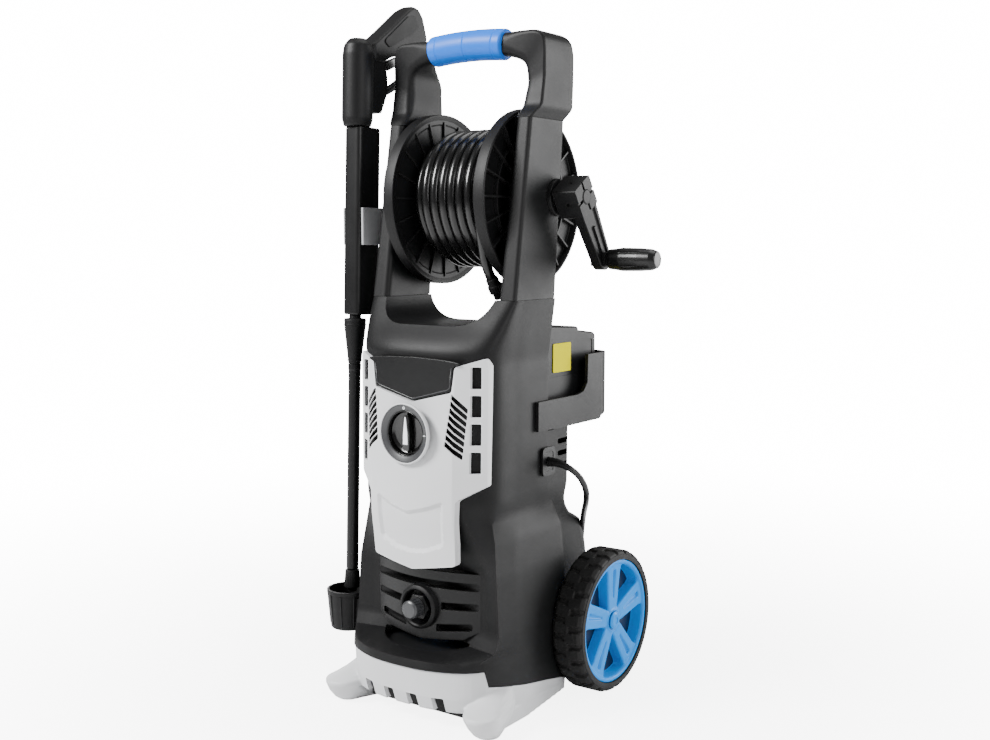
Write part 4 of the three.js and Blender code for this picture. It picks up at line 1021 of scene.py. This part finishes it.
# ---------------------------------------------------------------- the gun and its lance
def lance():
    nozzle = lathe("nozzle", "z", fillet([(3, 126), (6, 126), (7, 131), (11, 132), (10.5, 142), (9.5, 156),
        (3, 156)], [0.4, 0.6, 0.6, 1, 2, 1, 0.4], 3), sides=64, space=GUN)
    knurls = pegs("z", 24, 10.3, 0.6, (133.5, 152), sides=6, space=GUN)
    put(crisp(carve(nozzle, merged("knurls", knurls))), "nozzle", BLACK, "lance_nozzle")
    shaft = lathe("lance_shaft", "z", fillet([(0, 156.3), (7, 156.3), (8.2, 158), (8.2, 428), (8.8, 430),
        (8.8, 437), (0, 437)], [0, 0.6, 2, 1, 0.6, 0.4, 0], 3), sides=64, space=GUN)
    put(crisp(shaft), "gun", FINE_BLACK, "lance_tube")
    sleeve = lathe("coupling", "z", fillet([(0, 437.3), (8.5, 437.3), (9.5, 445), (12, 466), (14.5, 488),
        (14.5, 498), (8, 499), (8, 503), (0, 503)], [0, 1, 4, 8, 3, 1.2, 0.5, 0.3, 0], 4), sides=96,
        space=GUN)
    rings = [lathe("ring", "z", fillet(oblong((9, r), (z, z + 2)), 0.5, 2), sides=96, space=GUN)
        for z, r in ((441, 9.8), (489, 15), (494, 15))]
    put(crisp(merged("lance_collar", [sleeve, *rings])), "gun", BLACK, "lance_coupling")


GUARD = [(40, 800), (62, 808), (92, 828), (114, 852), (126, 884)]


def gun_body():
    guard = fillet(oblong((-14, 14), (-11, 34)), 8, 6)
    rows = [(503.3, 0.94), (506, 1), (749, 1), (752, 0.96)]
    shroud = loft("gun_shroud", [[(x * k, 11.5 + (y - 11.5) * k, z) for x, y in guard] for z, k in rows],
        GUN)
    ribs = [prism("rib", "x", [(34.4, z), (34.4, z + 2.4), (30, z + 2.4), (30, z)], (-9, 9), GUN)
        for z in range(520, 740, 12)]
    carve(shroud, merged("ribs", ribs))
    put(soften(shroud, 0.6), "gun", FINE_BLACK, "gun_sleeve")
    barrel = lathe("barrel", "z", fillet([(0, 752.3), (18, 752.3), (20.5, 762), (20.5, 846), (18.5, 858),
        (12, 866), (0, 868)], [0, 1.5, 6, 8, 8, 6, 0], 6), sides=96, space=GUN)
    cheek = prism("cheek", "x", fillet([(0, 772), (34, 772), (46, 800), (46, 822), (38, 846), (0, 862)], 6,
        5), (-13, 13), GUN)
    side = [(12, 860), (46, 886), (88, 920), (100, 927), (111, 925), (121, 914), (132, 884), (122, 872),
        (86, 860), (48, 846), (34, 838), (14, 838)]
    outline = fillet(side, [4, 20, 20, 10, 10, 10, 8, 6, 20, 10, 8, 4], 6)
    slices = [(x, 1 - 0.09 * (abs(x) / 15) ** 3) for x in (-15, -13.5, -11, -7, 0, 7, 11, 13.5, 15)]
    grip = cushion("grip", outline, (80, 884), slices, GUN)
    bow = tube("bow", through([Vector((0, y, z)) for y, z in GUARD], 8), 5.5, 20, GUN)
    body = melt("gun_moulding", [barrel, cheek, grip, bow], 1.1, 5)
    slot = [(44, 830), (44, 848), (86, 865), (120, 878), (132, 878), (128, 846), (100, 836)]
    carve(body, prism("slot", "x", slot, (-7, 7), GUN))
    put(crisp(body, 45), "gun", BLACK, "gun_body")
    panel = fillet([(34, 868), (84, 909), (98, 912), (108, 898), (92, 886), (46, 861)], 5, 6)
    for name, x in (("", (14.2, 16.6)), ("_back", (-16.6, -14.2))):
        pad = prism(f"soft_panel{name}", "x", panel, x, GUN)
        put(soften(pad, 0.5), "gun", SOFT, *(["gun_grip_panel"] if x[0] > 0 else []))
    lever = fillet([(48, 841), (55, 832), (86, 847), (108, 858), (108, 864), (84, 857), (54, 845)],
        [2, 3, 8, 2, 2, 6, 2], 4)
    put(soften(prism("trigger_lever", "x", lever, (-5, 5), GUN), 1, 3), "trigger", GLOSS, "trigger")
    latch = prism("lock_latch", "x", fillet([(111, 861), (116, 862), (118, 873), (112, 871)], 0.8, 3),
        (-5, 5), GUN)
    put(soften(latch, 0.6), "trigger_lock", MID, "trigger_lock")


def gun_holders():
    clip_z = (596, 645)
    arms = [block("arm", (-167.5, -164.5), (-166, -118), clip_z), block("arm", (-134.3, -130.5),
        (-168, -118), clip_z), block("web", (-167.5, -114.3), (-121, -116), clip_z)]
    put(melt("gun_clip_moulding", arms, 0.8, 3), "machine", CLIP_GREY, "gun_clip")
    x, y, r, low, high = GUN_X, -183, 29, 78, 132
    cup = lathe("cup", "z", fillet([(0, low), (r - 4, low), (r, high), (r - 2.5, high), (r - 6.3, low + 3),
        (0, low + 3)], [0, 4, 1, 1, 3, 0], 4), (x, y), 96)
    lip = lathe("lip", "z", fillet(oblong((r - 1, r + 1.2), (high - 5, high)), 0.7, 3), (x, y), 96)
    ribs = []
    for a in angles(10):
        ribs.append(tube("rib", [(x + (r - 3.6 + 3.6 * t) * math.cos(a),
            y + (r - 3.6 + 3.6 * t) * math.sin(a), low + 6 + (high - low - 12) * t) for t in (0, 0.5, 1)],
            1, 8))
    bracket = block("bracket", (-150, -120.8), (y - 13, y + 13), (low + 8, high - 8))
    bake(soften(bracket, 2, 3))
    carve(bracket, rod("bore", "z", r - 3, (low, high), (x, y), 64))
    put(crisp(merged("cup_moulding", [cup, lip, *ribs, bracket]), 30), "machine", BLACK, "lance_cup")


# ---------------------------------------------------------------- the tank and its holder
FILLER = (40, -30)             # the axis of the tank's neck and cap
TANK = [(-70, 366), (56, 366), (62, 380), (59, 474), (54, 477), (14, 482), (12, 487), (-70, 492)]


def tank():
    outline = fillet(TANK, [4, 6, 5, 3, 3, 1.5, 1.5, 5], 4)
    slices = [(92, 0.965), (91, 0.985), (89, 0.996), (86, 1), (-86, 1), (-89, 0.996), (-91, 0.985),
        (-92, 0.965)]
    body = cushion("tank", outline, (-4, 430), slices)
    panel = [prism("panel", "x", fillet([(-62, 423), (50, 423), (50, 468), (-62, 474)], 5, 5),
        (side * 91.2, side * 95)) for side in (-1, 1)]
    carve(body, *panel)
    put(crisp(body, 24), "machine", TANK_BLACK, "detergent_tank")
    neck = lathe("tank_neck", "z", oblong((12.5, 15), (484, 500)), FILLER, 64)
    put(crisp(neck), "machine", BLACK)
    cap = lathe("cap", "z", fillet([(0, 500.3), (15, 500.3), (15.3, 494), (19, 494), (19, 508), (17, 510),
        (0, 510)], [0, 0.2, 0.2, 0.6, 1, 1, 0], 3), FILLER, 96)
    ribs = pegs("z", 32, 18.9, 0.8, (495, 507), FILLER)
    put(crisp(merged("filler_cap", [cap, *ribs])), "cap", MID, "tank_cap")
    label = prism("label", "x", fillet(oblong((-50, -6), (429, 467)), 2, 4), (91.4, 92.4))
    put(soften(label, 0.15, 1), "machine", YELLOW, "tank_sticker")


def tank_holder():
    outer = oblong((-109, 109), (-110, 78))
    inner = oblong((-104.4, 104.4), (-111, 74.4))
    wall = prism("holder", "z", fillet(outer, [0, 0, 34, 34], 12), (358.5, 450))
    carve(wall, prism("inside", "z", fillet(inner, [0, 0, 32.4, 32.4], 12), (350, 460)))
    rise = fillet([(-120, 350), (-116, 360), (30, 360), (62, 366), (80, 392), (80, 460), (12, 460),
        (10, 412), (0, 401), (-16, 398), (-120, 398)], [0, 0, 8, 8, 8, 0, 0, 6, 6, 4, 0], 5)
    keep_inside(wall, prism("rise", "x", rise, (-120, 120)))
    bake(soften(wall, 1.3, 3))
    floor = prism("floor", "z", fillet(outer, [0, 0, 34, 34], 12), (358.8, 362.5))
    carve(floor, block("front", (-120, 120), (-130, SEAM_Y + 7), (350, 370)))
    keep_inside(floor, prism("rise", "x", [(-116, 350), (34, 350), (70, 380), (70, 400), (-116, 400)],
        (-108, 108)))
    put(crisp(merged("tank_shelf", [wall, floor]), 30), "machine", TANK_BLACK, "tank_holder")


# ---------------------------------------------------------------- the power cord
CORD_R = 4
COIL = (-20, 140)
PLUG = (93, 50.3)              # the y and z of the plug's axis
RING_R = 36                    # centre line of the innermost turns
RINGS = 4
LAYERS = 4
COIL_TURNS = 14.5833
CORD_ROUTE = [
    (108.5, -83, 318), (115, -83, 318), (123.8, -82.4, 317), (132, -80.5, 314.2), (141, -76.3, 307.9),
    (147, -70.7, 299.4), (149, -64.3, 289.8), (147.4, -56, 279.4), (141.5, -45, 268.8),
    (131.5, -29.5, 257.6), (118, -9.5, 245.5), (103.5, 12, 232.5), (89.5, 33, 217), (77.5, 50.5, 198),
    (69.3, 62, 176), (63.6, 69.5, 150), (59.8, 74, 122), (57.2, 77, 92), (55.8, 79, 64),
    (55.3, 80, 40.3), (52.6, 80, 26.5), (44.8, 80, 14.8), (33.1, 80, 7), (19.3, 80, 4.3),
]


RING_STEP = 0.36               # share of a turn in which the cord moves to the next ring
LAYER_STEP = 0.3               # and to the next layer


def coil_steps():
    """Where the cord moves to another ring or layer: (turn, share of a turn, ring, layer)."""
    ring, turn, step, made = RINGS - 1, 1 - RING_STEP, -1, []
    for layer in range(LAYERS):
        for _ in range(RINGS - 1):
            ring += step
            made.append((turn, RING_STEP, ring, layer))
            turn += 1
        made.append((turn - LAYER_STEP / 2, LAYER_STEP, ring, layer + 1))
        turn += 1.14 - RING_STEP - LAYER_STEP / 2
        step = -step
    return made[:-1]


def coil_points(per_turn=30):
    """The coil's centre line: turns that lie side by side, then back over each other, layer on layer."""
    steps, made = coil_steps(), []
    for k in range(1, round(COIL_TURNS * per_turn) + 1):
        turn = k / per_turn
        ring, layer = float(RINGS - 1), 0.0
        for start, share, new_ring, new_layer in steps:
            t = min(max((turn - start) / share, 0.0), 1.0)
            t = 2 * t * t if t < 0.5 else 1 - 2 * (1 - t) ** 2
            ring += (new_ring - ring) * t
            layer += (new_layer - layer) * t
        angle = -math.pi / 2 - 2 * math.pi * turn
        r = RING_R + 2 * CORD_R * ring
        made.append((COIL[0] + r * math.cos(angle), COIL[1] + r * math.sin(angle),
            CORD_R + 0.3 + 2 * CORD_R * layer))
    return made


def power_cord():
    tail = [(26.4, 179, 31), (37.1, 163, 35.6), (42.6, 144, 40.4), (45, 129, 44.4), (42.3, 115.2, 47.6),
        (34.5, 103.5, 49.6), (22.8, 95.7, 50.3), (9, *PLUG), (0, *PLUG)]
    route = through([Vector(p) for p in CORD_ROUTE + [(0, 80, CORD_R + 0.3), (COIL[0], 80, CORD_R + 0.3)]],
        6)
    coil = coil_points()
    end = through([Vector(coil[-2]), Vector(coil[-1]), *(Vector(p) for p in tail)], 6)[6:]
    line = [*route, *(Vector(p) for p in coil[:-1]), *end]
    curve = bpy.data.curves.new("cord", "CURVE")
    curve.dimensions = "3D"
    curve.bevel_depth = CORD_R * MM
    curve.bevel_resolution = 4
    curve.use_fill_caps = True
    spline = curve.splines.new("POLY")
    spline.points.add(len(line) - 1)
    for point, p in zip(spline.points, line):
        point.co = (*place(*p), 1)
    spline.use_smooth = True
    cord = put(new_object("cord", curve), "machine", CORD, "power_cord", "cord_coil")
    relief = through([Vector(p) for p in CORD_ROUTE[:5]], 6)[:22]
    boot = tube("strain_relief", relief, lambda share: 4.2 + 2 * (1 - share) ** 1.3 + 0.25
        * math.cos(share * 18 * math.pi), 32)
    put(boot, "machine", BLACK)
    plug = cord_plug()
    place(*CORD_ROUTE[0])


def cord_plug():
    y, z = PLUG
    profile = fillet([(0, -50), (16, -50), (18, -47), (18, -30), (14, -19), (8, -13), (6.5, -11), (4.7, 9),
        (0, 9)], [0, 3, 3, 6, 8, 3, 2, 0.6, 0], 5)
    body = lathe("body", "x", profile, (y, z), 96)
    rings = [lathe("ring", "x", [(r - 1, x), (r + 0.5, x + 0.6), (r + 0.5, x + 1.4), (r - 1, x + 2)],
        (y, z), 64) for x, r in ((-9, 6.4), (-5, 6), (-1, 5.6), (3, 5.2))]
    shell = put(crisp(merged("plug_body", [body, *rings])), "machine", CORD)
    pins = []
    for offset in (-9.5, 9.5):
        pins.append(lathe("pin", "x", fillet(oblong((0, 2.4), (-69, -49)), [0, 1.2, 0, 0], 4),
            (y + offset, z), 32))
    return shell, put(crisp(merged("plug_pins", pins)), "machine", STEEL, "cord_plug")


def grommet():
    plate = prism("grommet_plate", "x", fillet(oblong((-98, -68), (300, 337)), 7, 6), (104.6, 108))
    hole = prism("hole", "x", fillet(oblong((-93, -73), (306, 331)), 4, 6), (107.4, 112))
    carve(plate, hole)
    core = block("core", (96, 105), (-79, -69), (303, 334))
    put(soften(merged("cord_bush", [plate, core]), 1, 3), "machine", FINE_BLACK, "cord_grommet")


# ---------------------------------------------------------------- pieces kept from the frame
def kept_pieces():
    dressed = {"reel_shaft": STEEL, "axle": STEEL, "reel_bush_left": MID, "reel_bush_right": MID,
        "hose_swivel": BRASS, "switch_box": MID, "motor_casing": ALUMINIUM, "motor_fan": BLACK,
        "fan_shroud": BLACK, "pump_body": ALUMINIUM, "pump_head": BRASS, "capacitor": WHITE,
        "outlet_pipe": BRASS}
    for name, (_, material) in dressed.items():
        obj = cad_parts[name]
        obj.data.materials.clear()
        obj.data.materials.append(material)
        weld = obj.modifiers.new("weld", "WELD")
        weld.merge_threshold = 1e-6
        soften(obj, 0.5)


# ---------------------------------------------------------------- floor, light and camera
GLOW = 16.0


def glow_for_camera(obj, material):
    """Gives a surface a glow that the camera sees and that lights nothing."""
    obj.data.materials.append(material)
    for kind in ("diffuse", "glossy", "transmission", "shadow", "volume_scatter"):
        setattr(obj, f"visible_{kind}", False)


def stage():
    floor = mesh_piece("floor", [(-4000, -4000, 0), (4000, -4000, 0), (4000, 4000, 0), (-4000, 4000, 0)],
        [(0, 1, 2, 3)])
    floor.data.materials.append(surface("floor", (0.84, 0.84, 0.84), (0.86, 0.86, 0.86), (0.6, 0.7),
        patch=2, grain=60, depth=0.01))
    glow = bpy.data.materials.new("backdrop")
    glow.use_nodes = True
    glow.node_tree.nodes.clear()
    shine = node(glow.node_tree, "ShaderNodeEmission", Strength=GLOW)
    out = node(glow.node_tree, "ShaderNodeOutputMaterial")
    glow.node_tree.links.new(shine.outputs[0], out.inputs[0])
    dome = lathe("backdrop", "z", [(5600 * math.cos(a), 5600 * math.sin(a) - 80)
        for a in (math.pi * k / 48 for k in range(25))], sides=96)
    glow_for_camera(dome, glow)
    haze = bpy.data.materials.new("floor glow")
    haze.use_nodes = True
    tree = haze.node_tree
    tree.nodes.clear()
    where = node(tree, "ShaderNodeTexCoord")
    far = node(tree, "ShaderNodeVectorMath", operation="LENGTH")
    share = node(tree, "ShaderNodeMapRange", interpolation_type="SMOOTHSTEP", From_Min=0.1, From_Max=1.9,
        To_Min=0.35, To_Max=1.0)
    clear = node(tree, "ShaderNodeBsdfTransparent")
    shine = node(tree, "ShaderNodeEmission", Strength=GLOW)
    blend = node(tree, "ShaderNodeMixShader")
    out = node(tree, "ShaderNodeOutputMaterial")
    for a, b in ((where.outputs["Object"], far.inputs[0]), (far.outputs["Value"], share.inputs["Value"]),
            (share.outputs["Result"], blend.inputs[0]), (clear.outputs[0], blend.inputs[1]),
            (shine.outputs[0], blend.inputs[2]), (blend.outputs[0], out.inputs[0])):
        tree.links.new(a, b)
    glaze = mesh_piece("floor_glow", [(6000 * math.cos(a), 6000 * math.sin(a), 0.15) for a in angles(64)],
        [list(range(64))])
    glow_for_camera(glaze, haze)
    world = bpy.data.worlds.new("studio")
    bpy.context.scene.world = world
    world.use_nodes = True
    world.node_tree.nodes["Background"].inputs["Color"].default_value = (1, 1, 1, 1)
    world.node_tree.nodes["Background"].inputs["Strength"].default_value = 0.24
    middle = place(0, -60, 440)
    for name, spot, size, power in (("key", (-1500, -2300, 2400), 1100, 300),
            ("fill", (2700, -900, 1500), 1500, 60), ("top", (200, 500, 2900), 1700, 35),
            ("rim", (1900, 2300, 900), 1700, 120), ("edge", (-2100, 1300, 1000), 1200, 30)):
        light = bpy.data.lights.new(name, "AREA")
        light.size = size * MM
        light.energy = power
        lamp = new_object(name, light)
        lamp.location = place(*spot)
        lamp.rotation_euler = (middle - lamp.location).to_track_quat("-Z", "Y").to_euler()


def camera():
    data = bpy.data.cameras.new("camera")
    data.sensor_width = 36
    data.lens = 44.43
    eye = new_object("camera", data)
    eye.location = place(946.1, -1395.2, 606.8)
    aim = place(2.06, -54.2, 427.79)
    eye.rotation_euler = (aim - eye.location).to_track_quat("-Z", "Y").to_euler()
    bpy.context.scene.camera = eye


camera()
stage()
power_cord()
grommet()
front_housing()
rear_housing()
base_tray()
front_cover()
control_knob()
recess()
columns()
handle()
reel_flanges()
drum()
hose()
crank()
wheel("left", -1)
wheel("right", 1)
lance()
gun_body()
gun_holders()
tank()
tank_holder()
kept_pieces()
